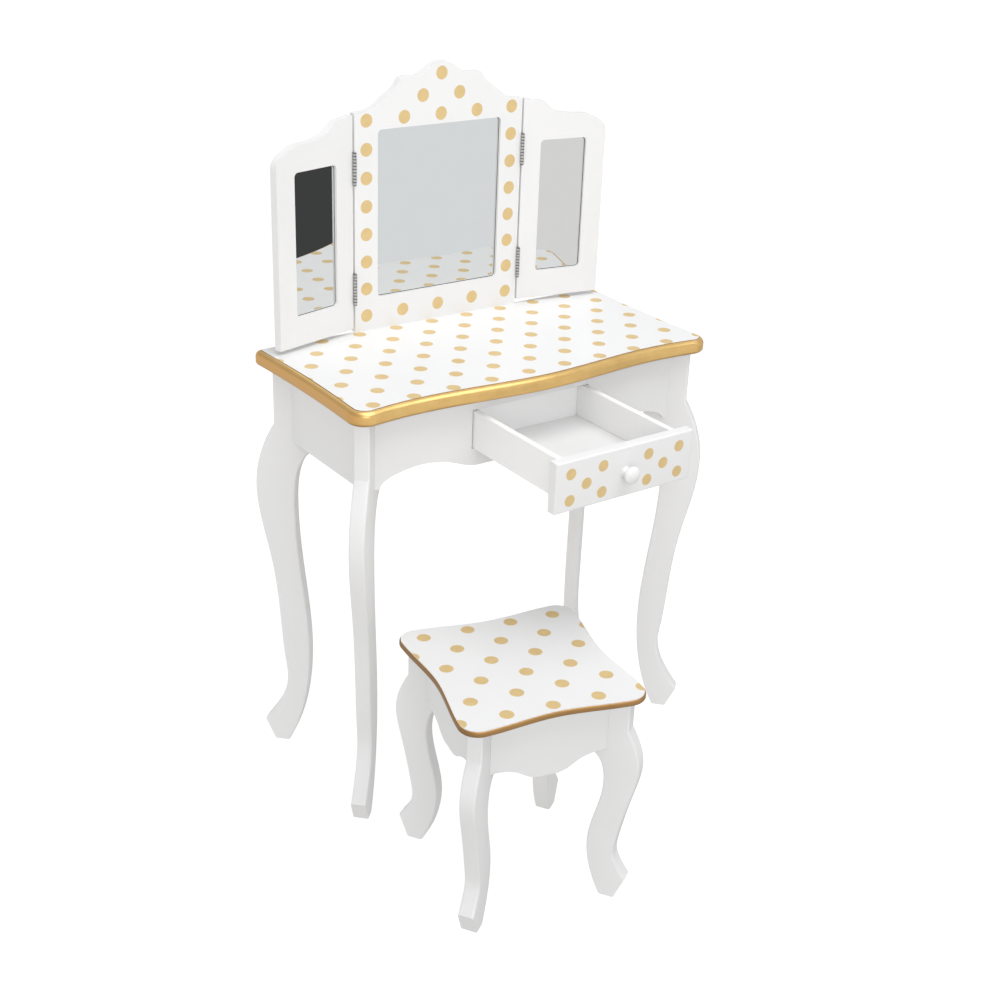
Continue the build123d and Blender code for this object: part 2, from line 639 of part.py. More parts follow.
# ---------------------------------------------------------------- hinges
def hinge_leaf(low, side, own):
    """One leaf with the knuckles it owns; side is -1 on the panel, 1 on the wing."""
    pitch = HINGE_LENGTH / KNUCKLES
    x0 = LEAF_GAP / 2
    x1 = x0 + LEAF_T
    leaf = box(side * x0, side * x1, 0.3, LEAF_WIDTH, low, low + HINGE_LENGTH)
    for k in own:
        z0 = low + pitch * k + JOINT_FIT / 2
        z1 = low + pitch * (k + 1) - JOINT_FIT / 2
        leaf = leaf + rod(KNUCKLE_R, (0, -AXIS_FORWARD, z0), (0, -AXIS_FORWARD, z1))
        leaf = leaf + box(side * x0, side * x1, -AXIS_FORWARD, 0.3 + EPS, z0, z1)
    leaf = leaf - rod(PIN_R + PIN_FIT, (0, -AXIS_FORWARD, low - 1), (0, -AXIS_FORWARD, low + HINGE_LENGTH + 1))
    for z in leaf_screw_heights(low):
        point = (side * x0, PANEL_T / 2, z)
        leaf = leaf - screw_hole(SMALL_SCREW_R, LEAF_T + 2, point, (side, 0, 0))
        leaf = leaf - rod(SMALL_HEAD_R + SCREW_FIT, (side * (x0 - 1), PANEL_T / 2, z),
                          (side * (x0 + SMALL_HEAD_T), PANEL_T / 2, z))
    return leaf


def leaf_screws(low, side):
    out = []
    for z in leaf_screw_heights(low):
        out.append(screw(SMALL_SCREW_R, SMALL_HEAD_R, SMALL_HEAD_T, SMALL_SCREW_LENGTH,
                         (side * LEAF_GAP / 2, PANEL_T / 2, z), (side, 0, 0)))
    return out


def hinge_pin(low):
    """Pin with a small button at each end, on the outer knuckles."""
    z0 = low + JOINT_FIT / 2
    z1 = low + HINGE_LENGTH - JOINT_FIT / 2
    y = -AXIS_FORWARD
    pin = rod(PIN_R, (0, y, z0 - PIN_HEAD_T), (0, y, z1 + PIN_HEAD_T))
    return pin + rod(PIN_HEAD_R, (0, y, z0 - PIN_HEAD_T), (0, y, z0)) + rod(PIN_HEAD_R, (0, y, z1), (0, y, z1 + PIN_HEAD_T))


def make_hinges():
    """Right-hand hinges, with the hinge line at x = 0."""
    fixed = []
    moving = []
    pins = []
    fixed_screws = []
    moving_screws = []
    for low in hinge_lows():
        fixed.append(hinge_leaf(low, -1, range(0, KNUCKLES, 2)))
        moving.append(hinge_leaf(low, 1, range(1, KNUCKLES, 2)))
        pins.append(hinge_pin(low))
        fixed_screws += leaf_screws(low, -1)
        moving_screws += leaf_screws(low, 1)
    return fixed, moving, pins, fixed_screws, moving_screws


def swing(shape, degrees):
    """Turn a right wing's piece forward about its pin, then move it to its side."""
    about = Pos(0, -AXIS_FORWARD, 0) * Rot(0, 0, -degrees) * Pos(0, AXIS_FORWARD, 0)
    return Pos(CENTRE_WIDTH / 2, 0, 0) * about * shape


# ---------------------------------------------------------------- mirror fixing
def back_plates():
    """Two flat plates screwed across the table's back edge and the mirror."""
    plates = []
    screws = []
    holes = []
    low = UNDER_TOP
    high = TABLE_HEIGHT + PLATE_UP
    for sx in (-1, 1):
        x = sx * PLATE_X
        plate = box(x - PLATE_WIDTH / 2, x + PLATE_WIDTH / 2, PANEL_T, PANEL_T + PLATE_T, low, high)
        for z in (low + PLATE_HOLE_END + 2, TABLE_HEIGHT + PLATE_HOLE_END + 4, high - PLATE_HOLE_END):
            hole = screw_hole(SMALL_SCREW_R, CLIP_SCREW_LENGTH + PLATE_T, (x, PANEL_T + PLATE_T, z), (0, -1, 0))
            plate = plate - hole
            holes.append(hole)
            screws.append(screw(SMALL_SCREW_R, CLIP_HEAD_R, CLIP_HEAD_T, CLIP_SCREW_LENGTH + PLATE_T + CLIP_HEAD_T,
                                (x, PANEL_T + PLATE_T + CLIP_HEAD_T, z), (0, -1, 0)))
        plates.append(plate)
    return plates, screws, holes


def dowels():
    """Dowels between the middle panel and the table top, and their holes."""
    pins = []
    holes = []
    for sx in (-1, 1):
        y = PANEL_T / 2
        half = DOWEL_LENGTH / 2
        pins.append(rod(DOWEL_R, (sx * DOWEL_X, y, TABLE_HEIGHT - half), (sx * DOWEL_X, y, TABLE_HEIGHT + half)))
        holes.append(rod(DOWEL_R + SCREW_FIT, (sx * DOWEL_X, y, TABLE_HEIGHT - half),
                         (sx * DOWEL_X, y, TABLE_HEIGHT + half)))
    return pins, holes


# ---------------------------------------------------------------- stool
def seat_outline(inset):
    """Seat with four hollow edges and full, rounded corners."""
    w = STOOL_WIDTH / 2 - inset
    d = STOOL_DEPTH / 2 - inset
    a = STOOL_FLARE_AT
    f = STOOL_FLARE
    h = STOOL_HOLLOW
    edges = [
        Spline((-w, -d), (-a, -d + f), (0, -d + h), (a, -d + f), (w, -d)),
        Spline((w, -d), (w - f, -a), (w - h, 0), (w - f, a), (w, d)),
        Spline((w, d), (a, d - f), (0, d - h), (-a, d - f), (-w, d)),
        Spline((-w, d), (-w + f, a), (-w + h, 0), (-w + f, -a), (-w, -d)),
    ]
    board = slab(edges, Plane.XY.offset(STOOL_HEIGHT), -STOOL_TOP_T)
    return fillet(board.edges().filter_by(Axis.Z), STOOL_CORNER_R - inset)


def stool_apron(half_x, half_y):
    """Rail along X on the stool's -Y side, with a dropped middle."""
    z0 = STOOL_HEIGHT - STOOL_APRON_DROP
    low = z0 - STOOL_PENDANT
    face = half_y - STOOL_APRON_SETBACK
    rail = between_legs(half_x, face, STOOL_APRON_T, low, STOOL_HEIGHT - STOOL_TOP_T, half_y)
    end = half_x + 5
    for side in (1, -1):
        curve = Spline((side * 12, low), (side * 42, z0 - 4), (side * 66, z0 + 3), (side * end, z0 - 4),
                       tangents=[(side * 1, 0.05), (side * 1, -0.3)])
        lines = [curve, Line((side * end, z0 - 4), (side * end, low - 5)),
                 Line((side * end, low - 5), (side * 12, low - 5)), Line((side * 12, low - 5), (side * 12, low))]
        rail = rail - slab(lines, Plane.XZ, STOOL_WIDTH)
    return rail


def make_stool():
    core = seat_outline(STOOL_EDGE_W)
    outer = seat_outline(0)
    outer = fillet(outer.faces().sort_by(Axis.Z)[0].edges(), STOOL_EDGE_ROUND)
    pieces = {"stool_seat": core, "stool_seat_edge": outer - core}
    board = stool_leg_board()
    under = STOOL_HEIGHT - STOOL_TOP_T
    brace = brace_length(STOOL_BLOCK_DEPTH, STOOL_APRON_SETBACK + STOOL_APRON_T)
    blocks, bolts, holes = brace_set((0, 0), STOOL_LEG_X, STOOL_LEG_Y, STOOL_BLOCK_DEPTH,
                                     brace, BLOCK_BRACE_T, STOOL_BRACE_HEIGHT, under)
    names = {(-1, -1): "front_left", (1, -1): "front_right", (-1, 1): "back_left", (1, 1): "back_right"}
    for spot, hole in zip(LEG_SPOTS, holes):
        leg = place_leg(board, spot[0], spot[1], spot[0] * STOOL_LEG_X, spot[1] * STOOL_LEG_Y)
        pieces["stool_leg_" + names[spot]] = leg - hole
    long_rail = stool_apron(STOOL_LEG_X, STOOL_LEG_Y)
    side_rail = stool_apron(STOOL_LEG_Y, STOOL_LEG_X)
    turns = (("front", 0, long_rail), ("right", 90, side_rail), ("back", 180, long_rail), ("left", 270, side_rail))
    for name, turn, rail in turns:
        pieces["stool_apron_" + name] = Rot(0, 0, turn) * rail
    points = block_screw_points((0, 0), STOOL_LEG_X, STOOL_LEG_Y, STOOL_BLOCK_DEPTH, BLOCK_BRACE_T,
                                brace * 0.32, under - STOOL_BRACE_HEIGHT)
    bite = STOOL_TOP_T - 3
    screws = top_screws(points, STOOL_BRACE_HEIGHT + bite)
    for hole in screw_bores(points, STOOL_BRACE_HEIGHT + bite):
        blocks = [b - hole for b in blocks]
        pieces["stool_seat"] = pieces["stool_seat"] - hole
    pieces["stool_corner_blocks"] = join(blocks)
    pieces["stool_leg_bolts"] = join(bolts)
    pieces["stool_seat_screws"] = join(screws)
    place = Pos(STOOL_X, STOOL_Y, 0) * Rot(0, 0, STOOL_TURN)
    return {name: place * shape for name, shape in pieces.items()}


def top_screws(points, length):
    """Screws that go up from under a corner block; each head hangs below it."""
    out = []
    for p in points:
        start = (p.X, p.Y, p.Z - TOP_SCREW_HEAD_T)
        out.append(screw(TOP_SCREW_R, TOP_SCREW_HEAD_R, TOP_SCREW_HEAD_T, length + TOP_SCREW_HEAD_T, start, (0, 0, 1)))
    return out


def screw_bores(points, length):
    return [screw_hole(TOP_SCREW_R, length, (p.X, p.Y, p.Z), (0, 0, 1)) for p in points]


# ---------------------------------------------------------------- assembly
def make_table():
    top, edging = make_top()
    pieces = {}
    centre = (0, (LEG_FRONT_Y + LEG_BACK_Y) / 2)
    half_y = (LEG_BACK_Y - LEG_FRONT_Y) / 2
    brace = brace_length(BLOCK_DEPTH, APRON_SETBACK + APRON_THICKNESS)
    blocks, bolts, holes = brace_set(centre, LEG_X, half_y, BLOCK_DEPTH, brace, BLOCK_BRACE_T,
                                     BLOCK_BRACE_HEIGHT, UNDER_TOP)
    board = table_leg_board()
    names = {(-1, -1): "leg_front_left", (1, -1): "leg_front_right", (-1, 1): "leg_back_left", (1, 1): "leg_back_right"}
    for spot, hole in zip(LEG_SPOTS, holes):
        leg = place_leg(board, spot[0], spot[1], spot[0] * LEG_X, centre[1] + spot[1] * half_y)
        pieces[names[spot]] = leg - hole
    front, left, right, back = make_aprons()
    pieces.update(apron_front=front, apron_left=left, apron_right=right, apron_back=back)
    runner = make_runner()
    pieces["drawer_runners"] = join([flip(runner), runner])
    points = block_screw_points(centre, LEG_X, half_y, BLOCK_DEPTH, BLOCK_BRACE_T, brace * 0.32,
                                UNDER_TOP - BLOCK_BRACE_HEIGHT)
    length = BLOCK_BRACE_HEIGHT + TOP_SCREW_BITE
    for hole in screw_bores(points, length):
        blocks = [b - hole for b in blocks]
        top = top - hole
    pieces["corner_blocks"] = join(blocks)
    pieces["leg_bolts"] = join(bolts)
    pieces["top_screws"] = join(top_screws(points, length))
    frame, glass, backing, plates, screws = make_centre()
    strap, strap_screws, strap_holes = back_plates()
    pegs, peg_holes = dowels()
    for hole in strap_holes:
        frame = frame - hole
        top = top - hole
        edging = edging - hole
    for hole in peg_holes:
        frame = frame - hole
        top = top - hole
        edging = edging - hole
    pieces.update(tabletop=top, tabletop_edging=edging, mirror_centre_frame=frame, mirror_centre_glass=glass,
                  mirror_centre_backing=backing, mirror_centre_clips=plates, mirror_centre_clip_screws=screws)
    pieces["mirror_back_plates"] = join(strap)
    pieces["mirror_plate_screws"] = join(strap_screws)
    pieces["mirror_dowels"] = join(pegs)
    return pieces


def make_mirrors():
    pieces = {}
    fixed, moving, pins, fixed_screws, moving_screws = make_hinges()
    wing = make_wing()
    right = {"frame": wing[0], "glass": wing[1], "backing": wing[2], "clips": wing[3], "clip_screws": wing[4],
             "hinge_leaves": join(moving), "hinge_screws": join(moving_screws)}
    for name, shape in right.items():
        pieces["wing_right_" + name] = swing(shape, RIGHT_OPEN)
        pieces["wing_left_" + name] = flip(swing(shape, LEFT_OPEN))
    sides = {"hinge_fixed_leaves": fixed, "hinge_pins": pins, "hinge_fixed_screws": fixed_screws}
    for name, shapes in sides.items():
        right_side = [swing(s, 0) for s in shapes]
        pieces[name] = join(right_side + [flip(s) for s in right_side])
    return pieces


def build():
    parts = make_table()
    parts.update(make_mirrors())
    names = ("drawer_front", "drawer_side_left", "drawer_side_right", "drawer_back", "drawer_base",
             "drawer_stop", "drawer_knob", "drawer_knob_screw")
    parts.update(zip(names, make_drawer()))
    parts.update(make_stool())
    whole = Compound(children=[s.moved(Location()) for s in parts.values()]).bounding_box()
    shift = Pos(-whole.center().X, -whole.center().Y, -whole.min.Z)
    print("moved by", [round(-whole.center().X, 4), round(-whole.center().Y, 4), round(-whole.min.Z, 4)])
    print("overall size", whole.size)
    return {name: shift * shape for name, shape in parts.items()}


parts = build()
os.makedirs("parts", exist_ok=True)
for node, shape in parts.items():
    export_step(shape, f"parts/{node}.step")
    print(node, round(shape.volume / 1000, 2), "cm3")
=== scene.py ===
# %% [markdown]
# # A play dressing table with its stool
#
# The object is a child's dressing table: white painted fibreboard with printed gold dots, a gold
# moulded edge round the top, three mirror leaves on steel hinges, a drawer on wooden runners and a
# small stool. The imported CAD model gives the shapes, the sizes and what moves. This script gives the
# pieces their finish, softens the edges that a paint shop would soften, and lights them.

# %% Load the fixed frame
import json
from math import cos, radians, sin, tau

import bmesh
import bpy
import numpy as np
from mathutils import Matrix, Vector

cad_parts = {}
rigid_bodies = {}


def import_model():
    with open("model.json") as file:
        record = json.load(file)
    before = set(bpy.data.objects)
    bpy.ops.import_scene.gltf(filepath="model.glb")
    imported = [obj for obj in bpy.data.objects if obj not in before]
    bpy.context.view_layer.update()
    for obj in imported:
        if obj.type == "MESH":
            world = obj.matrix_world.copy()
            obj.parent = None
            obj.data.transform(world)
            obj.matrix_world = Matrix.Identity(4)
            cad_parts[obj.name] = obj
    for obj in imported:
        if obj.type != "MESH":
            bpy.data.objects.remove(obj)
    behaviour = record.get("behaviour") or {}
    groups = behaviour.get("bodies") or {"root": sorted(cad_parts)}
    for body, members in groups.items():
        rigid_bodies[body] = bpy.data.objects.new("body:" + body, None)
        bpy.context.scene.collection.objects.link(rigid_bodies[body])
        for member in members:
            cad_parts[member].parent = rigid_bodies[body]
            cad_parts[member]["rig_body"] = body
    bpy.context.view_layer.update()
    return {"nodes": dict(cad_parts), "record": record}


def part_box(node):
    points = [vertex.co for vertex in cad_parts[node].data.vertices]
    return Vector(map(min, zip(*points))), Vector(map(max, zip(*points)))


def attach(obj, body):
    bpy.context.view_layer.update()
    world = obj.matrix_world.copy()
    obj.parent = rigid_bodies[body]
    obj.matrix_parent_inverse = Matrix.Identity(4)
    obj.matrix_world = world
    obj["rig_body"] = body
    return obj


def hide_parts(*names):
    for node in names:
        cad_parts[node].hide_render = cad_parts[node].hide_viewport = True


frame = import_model()
nodes = frame["nodes"]

# %% [markdown]
# ## Places that everything else is measured from
#
# Patterns, the camera and the lights hang on a few places of the real object: the middle of the
# table, the face of the middle mirror leaf and the height of the table top. They are read from the
# CAD pieces, so a change of size there carries through.

# %% Datum places
MM = 0.001


def middle(node):
    """Centre of a CAD piece's box."""
    low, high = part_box(node)
    return (low + high) / 2


def add_object(name, data):
    """A new object in the scene that holds a mesh, a light or a camera."""
    new = bpy.data.objects.new(name, data)
    bpy.context.scene.collection.objects.link(new)
    return new


top_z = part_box("tabletop")[1].z
table_x = middle("tabletop").x
mirror_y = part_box("mirror_centre_frame")[0].y
datum = Vector((table_x, mirror_y, top_z))
seat_centre = middle("stool_seat")
front_centre = middle("drawer_front")
STOOL_TURN = radians(-12.2)
print("table top at", round(top_z, 4), "mirror face at", round(mirror_y, 4))

# %% [markdown]
# ## The camera
#
# The table is seen from its front left and from above the crest of its mirror, through a slightly
# long lens. A heading, a tilt and a roll say where a camera looks more plainly than three angles
# about fixed axes, so the camera's own axes are worked out from them and written into its matrix.

# %% Camera
EYE_FROM_DATUM = Vector((-1.1978, -1.8151, 0.7277))
HEADING = radians(36.167)
TILT = radians(25.283)
ROLL = radians(2.233)
LENS = 54.69
SENSOR_WIDTH = 36


def camera_axes(heading, tilt, roll):
    """The camera's right, up and backward axes.

    Forward is (sin h cos t, cos h cos t, -sin t). Right is level at first and then rolled."""
    forward = Vector((sin(heading) * cos(tilt), cos(heading) * cos(tilt), -sin(tilt)))
    level = Vector((cos(heading), -sin(heading), 0))
    upright = level.cross(forward)
    right = level * cos(roll) + upright * sin(roll)
    return right, right.cross(forward), -forward


camera = add_object("camera", bpy.data.cameras.new("camera"))
camera.data.lens = LENS
camera.data.sensor_width = SENSOR_WIDTH
axes = camera_axes(HEADING, TILT, ROLL)
camera.matrix_world = Matrix(axes).transposed().to_4x4()
camera.location = datum + EYE_FROM_DATUM
bpy.context.scene.camera = camera
print("camera at", [round(c, 3) for c in camera.location])

# %% [markdown]
# ## Shader arithmetic
#
# A pattern such as a row of dots is a formula, and a formula reads best as one. `Channel` wraps a
# node's output, and its operators add Math nodes, so `(radius - distance) / blur` is both the maths
# and the node tree. `Recipe` is one material: its one method, `node`, adds any kind of node.

# %% Channel and Recipe


class Channel:
    """A number, colour or vector on its way through a material."""

    def __init__(self, recipe, socket):
        self.recipe = recipe
        self.socket = socket

    def maths(self, operation, first, second=0.0):
        return self.recipe.node("ShaderNodeMath", {"operation": operation}, {0: first, 1: second})

    def __add__(self, other):
        return self.maths("ADD", self, other)

    __radd__ = __add__

    def __sub__(self, other):
        return self.maths("SUBTRACT", self, other)

    def __rsub__(self, other):
        return self.maths("SUBTRACT", other, self)

    def __mul__(self, other):
        return self.maths("MULTIPLY", self, other)

    __rmul__ = __mul__

    def __truediv__(self, other):
        return self.maths("DIVIDE", self, other)

    def __pow__(self, other):
        return self.maths("POWER", self, other)

    def __abs__(self):
        return self.maths("ABSOLUTE", self)

    def over(self, edge):
        """1 where this is more than edge, else 0."""
        return self.maths("GREATER_THAN", self, edge)

    def under(self, edge):
        """1 where this is less than edge, else 0."""
        return self.maths("LESS_THAN", self, edge)

    def rounded(self):
        return self.maths("ROUND", self)

    def largest(self, other):
        return self.maths("MAXIMUM", self, other)

    def clamped(self):
        return self.recipe.node("ShaderNodeClamp", {}, {"Value": self, "Min": 0.0, "Max": 1.0})

    def part(self, axis):
        """One axis of a vector, by its letter."""
        return self.recipe.node("ShaderNodeSeparateXYZ", {}, {"Vector": self}, axis)


class Recipe:
    """One material, built node by node."""

    def __init__(self, name):
        self.material = bpy.data.materials.new(name)
        self.material.use_nodes = True
        self.tree = self.material.node_tree
        self.tree.nodes.clear()

    def node(self, kind, settings=None, inputs=None, output=0):
        """Any node: its type, its settings, then the values or links of its sockets."""
        new = self.tree.nodes.new(kind)
        for key, value in (settings or {}).items():
            setattr(new, key, value)
        for key, value in (inputs or {}).items():
            if isinstance(value, Channel):
                self.tree.links.new(value.socket, new.inputs[key])
            else:
                new.inputs[key].default_value = value
        return Channel(self, new.outputs[output])

    def place(self, centre=(0, 0, 0), turn=0.0, stretch=(1, 1, 1)):
        """The piece's own coordinates, measured from a centre and turned about Z."""
        coordinates = self.node("ShaderNodeTexCoord", output="Object")
        settings = {"vector_type": "TEXTURE"}
        inputs = {"Vector": coordinates, "Location": centre, "Rotation": (0, 0, turn), "Scale": stretch}
        return self.node("ShaderNodeMapping", settings, inputs)

    def facing(self, axis):
        """How much the surface faces along an axis, from -1 to 1."""
        return self.node("ShaderNodeNewGeometry", output="Normal").part(axis)

    def noise(self, vector, size, detail=2.0, roughness=0.5):
        """Noise from 0 to 1 whose lumps are about size metres across."""
        inputs = {"Vector": vector, "Scale": 1 / size, "Detail": detail, "Roughness": roughness}
        return self.node("ShaderNodeTexNoise", {}, inputs)

    def mix(self, a, b, factor):
        """Colour a where factor is 0 and b where it is 1."""
        settings = {"data_type": "RGBA", "clamp_factor": True}
        return self.node("ShaderNodeMix", settings, {0: factor, 6: a, 7: b}, 2)

    def bump(self, height, depth, normal=None):
        """Surface relief: height 0 to 1 stands for depth metres."""
        inputs = {"Height": height, "Distance": depth, "Strength": 1.0}
        if normal is not None:
            inputs["Normal"] = normal
        return self.node("ShaderNodeBump", {}, inputs)

    def finish(self, **sockets):
        """Joins a Principled surface with these sockets to the output and returns the material."""
        inputs = {key.replace("_", " "): value for key, value in sockets.items()}
        surface = self.node("ShaderNodeBsdfPrincipled", {}, inputs, "BSDF")
        end = self.tree.nodes.new("ShaderNodeOutputMaterial")
        self.tree.links.new(surface.socket, end.inputs["Surface"])
        return self.material


def grey(value):
    return (value, value, value, 1.0)


print("shader arithmetic ready")

# %% [markdown]
# ## White satin paint
#
# The boards are sprayed with a satin white lacquer. Sprayed paint is never quite flat: it has a very
# fine orange peel, faint waves from the sanded board beneath, and its gloss drifts a little. All
# three come from noise in the piece's own coordinates, so they stay put when the piece moves.

# %% White paint
WHITE = (0.805, 0.803, 0.800, 1)
SHADED_WHITE = (0.77, 0.768, 0.765, 1)
# Painted light: the drawer box's whites are lighter than the outside's to lift the shade inside the
# drawer.
BOX_WHITE = (0.92, 0.92, 0.918, 1)
BOX_SHADED_WHITE = (0.89, 0.89, 0.888, 1)
PEEL_SIZE = 2.2 * MM
PEEL_DEPTH = 0.035 * MM
WAVE_SIZE = 45 * MM
WAVE_DEPTH = 0.10 * MM
LACQUER_COAT = {"Coat_Weight": 0.12, "Coat_Roughness": 0.18}


def paint_skin(recipe, place, light=WHITE, dark=SHADED_WHITE):
    """Colour, roughness and relief of the sprayed lacquer, between two near whites."""
    drift = recipe.noise(place, 90 * MM, 3.0)
    speckle = recipe.noise(place, 1.1 * MM, 1.0)
    colour = recipe.mix(dark, light, drift * 0.7 + speckle * 0.3 + 0.15)
    roughness = recipe.noise(place, 60 * MM, 4.0) * 0.16 + 0.30
    waves = recipe.bump(recipe.noise(place, WAVE_SIZE, 2.0), WAVE_DEPTH)
    peel = recipe.bump(recipe.noise(place, PEEL_SIZE, 2.0), PEEL_DEPTH, waves)
    return colour, roughness, peel


def make_white_paint(name, light, dark):
    recipe = Recipe(name)
    colour, roughness, relief = paint_skin(recipe, recipe.place(), light, dark)
    return recipe.finish(Base_Color=colour, Roughness=roughness, Normal=relief, **LACQUER_COAT)


white_paint = make_white_paint("white_satin_paint", WHITE, SHADED_WHITE)
# Painted light: a lighter copy of the white paint for the drawer's box, against the shade inside it.
lightened_box_paint = make_white_paint("drawer_box_white", BOX_WHITE, BOX_SHADED_WHITE)
print("made", white_paint.name, lightened_box_paint.name)

# %% [markdown]
# ## Printed gold dots
#
# The dots are screen printed in rows, and each row is shifted by half a step. A dot is where the
# distance to the nearest lattice point is under its radius: the lattice is found by rounding, and
# the distance by Pythagoras. The ink has fine metal flakes, stands a hair proud of the paint and has
# a slightly uneven rim, which comes from adding a little noise to the distance.

# %% Dot lattices
TOP_DOT_R = 9.5 * MM
DRAWER_DOT_R = 8.0 * MM
RIM = 0.25 * MM
INK_DEPTH = 0.03 * MM
LEVEL_FACE = 0.93
SLOPED_FACE = 0.35
INK = (0.77, 0.575, 0.27, 1)
INK_DEEP = (0.64, 0.455, 0.195, 1)
# Painted shadow: the dark gold-brown of the groove between the top and its edging.
GROOVE_SHADOW_GOLD = (0.30, 0.17, 0.05, 1)


def disc(recipe, place, across, up, radius):
    """1 inside a circle round the origin of (across, up), softened over the rim."""
    wobble = recipe.noise(place, 3.0 * MM, 1.0) * RIM - RIM / 2
    distance = (across * across + up * up) ** 0.5 + wobble
    return ((radius - distance) / RIM + 0.5).clamped()


def lattice(recipe, place, across, up, pitch, rise, radius, stagger=0.5):
    """Discs in rows rise apart and pitch apart along a row, each row shifted by stagger of a pitch."""
    row = (up / rise).rounded()
    column = across / pitch + row * stagger
    nearest_across = (column - column.rounded()) * pitch
    return disc(recipe, place, nearest_across, up - row * rise, radius)


def gold_dots(name, pattern, centre, turn=0.0, groove=False):
    """White paint with a pattern of ink, where pattern(recipe, place) gives the ink's mask.

    The groove is the sloping rim where the white top meets its edging; it is painted gold, darkened to a
    gold-brown by painted shadow."""
    recipe = Recipe(name)
    place = recipe.place(centre, turn)
    colour, roughness, relief = paint_skin(recipe, place)
    mask = pattern(recipe, place)
    flakes = recipe.noise(place, 0.8 * MM, 2.0, 0.7)
    ink = recipe.mix(INK_DEEP, INK, flakes * 1.2 + recipe.noise(place, 12 * MM) * 0.8 - 0.35)
    relief = recipe.bump(mask, INK_DEPTH, relief)
    # Painted shadow: the groove is darkened to a gold-brown for the shade in it.
    if groove:
        slope = recipe.facing("Z")
        mask = mask.largest(slope.over(SLOPED_FACE) * slope.under(LEVEL_FACE))
        ink = recipe.mix(ink, GROOVE_SHADOW_GOLD, slope.under(LEVEL_FACE))
    return recipe.finish(Base_Color=recipe.mix(colour, ink, mask), Metallic=mask * 0.25,
                         Roughness=roughness + mask * 0.06, Normal=relief, **LACQUER_COAT)


# %% [markdown]
# Each dotted board has its own spacing and its own zero. On the mirror the dots run round the frame,
# and three more fill its crest. On the drawer they leave the knob free.

# %% Dot patterns of the four boards
TOP_PITCH, TOP_RISE = 62.0 * MM, 40.75 * MM
TOP_DOT_ZERO = Vector((107.7 * MM, -172.9 * MM, 0))
SEAT_PITCH, SEAT_RISE = 63.3 * MM, 41.7 * MM
SEAT_DOT_ZERO = (-94.9 * MM, 104.5 * MM)
FRAME_PITCH, FRAME_RISE = 61.3 * MM, 39.9 * MM
FRAME_DOT_Z = 22.8 * MM
CREST_FROM = 315 * MM
CREST_DOTS = [(30.7 * MM, 329.4 * MM), (-30.7 * MM, 329.4 * MM), (0.0, 358.1 * MM)]
DRAWER_PITCH, DRAWER_RISE = 52.5 * MM, 18.5 * MM
DRAWER_FIRST = 38.0 * MM
DRAWER_DOT_DROP = 1.5 * MM
DRAWER_DOTS_HALF_WIDE, DRAWER_DOTS_HALF_HIGH = 102.0 * MM, 28.0 * MM
KNOB_CLEAR = 22.0 * MM
PRINTED_FACE = 0.6


def top_pattern(recipe, place):
    dots = lattice(recipe, place, place.part("X"), place.part("Y"), TOP_PITCH, TOP_RISE, TOP_DOT_R)
    return dots * recipe.facing("Z").over(PRINTED_FACE)


def seat_pattern(recipe, place):
    across = place.part("X") - SEAT_DOT_ZERO[0]
    up = place.part("Y") - SEAT_DOT_ZERO[1]
    dots = lattice(recipe, place, across, up, SEAT_PITCH, SEAT_RISE, TOP_DOT_R)
    return dots * recipe.facing("Z").over(PRINTED_FACE)


def mirror_pattern(recipe, place):
    across, height = place.part("X"), place.part("Z")
    rows = lattice(recipe, place, across, height - FRAME_DOT_Z, FRAME_PITCH, FRAME_RISE, TOP_DOT_R, 0.0)
    dots = rows * height.under(CREST_FROM)
    for x, z in CREST_DOTS:
        dots = dots.largest(disc(recipe, place, across - x, height - z, TOP_DOT_R))
    return dots * recipe.facing("Y").under(-PRINTED_FACE)


def drawer_pattern(recipe, place):
    across = abs(place.part("X"))
    height = place.part("Z") + DRAWER_DOT_DROP
    dots = lattice(recipe, place, across - DRAWER_FIRST, height + DRAWER_RISE, DRAWER_PITCH, DRAWER_RISE,
                   DRAWER_DOT_R)
    between = across.over(KNOB_CLEAR) * across.under(DRAWER_DOTS_HALF_WIDE)
    field = between * abs(height).under(DRAWER_DOTS_HALF_HIGH)
    return dots * field * recipe.facing("Y").under(-PRINTED_FACE)


top_paint = gold_dots("dotted_table_top", top_pattern, datum + TOP_DOT_ZERO, groove=True)
seat_paint = gold_dots("dotted_seat", seat_pattern, seat_centre, STOOL_TURN)
mirror_paint = gold_dots("dotted_mirror_frame", mirror_pattern, datum)
drawer_paint = gold_dots("dotted_drawer_front", drawer_pattern, front_centre)
print("made four dotted paints")

# %% [markdown]
# ## Gold edges
#
# The moulded edge of the table is brushed with a bright metallic gold and the stool's with an older,
# browner one. Metallic paint is a mirror broken into flakes: it is a metal to the light, fairly
# rough, with a grain of lighter and darker flakes and soft streaks where the brush went along.
# Shade is painted into both golds too: they darken towards their undersides and on their sides.

# %% Gold paint
# Painted shade: how far the gold darkens on faces turned to the sides. The third colour of each gold
# below is its painted shade.
SIDE_SHADE = 0.8
BRIGHT_GOLD_AND_SHADE = [(0.95, 0.66, 0.27, 1), (0.75, 0.46, 0.14, 1), (0.50, 0.265, 0.075, 1)]
OLD_GOLD_AND_SHADE = [(0.50, 0.29, 0.105, 1), (0.36, 0.19, 0.06, 1), (0.22, 0.11, 0.035, 1)]


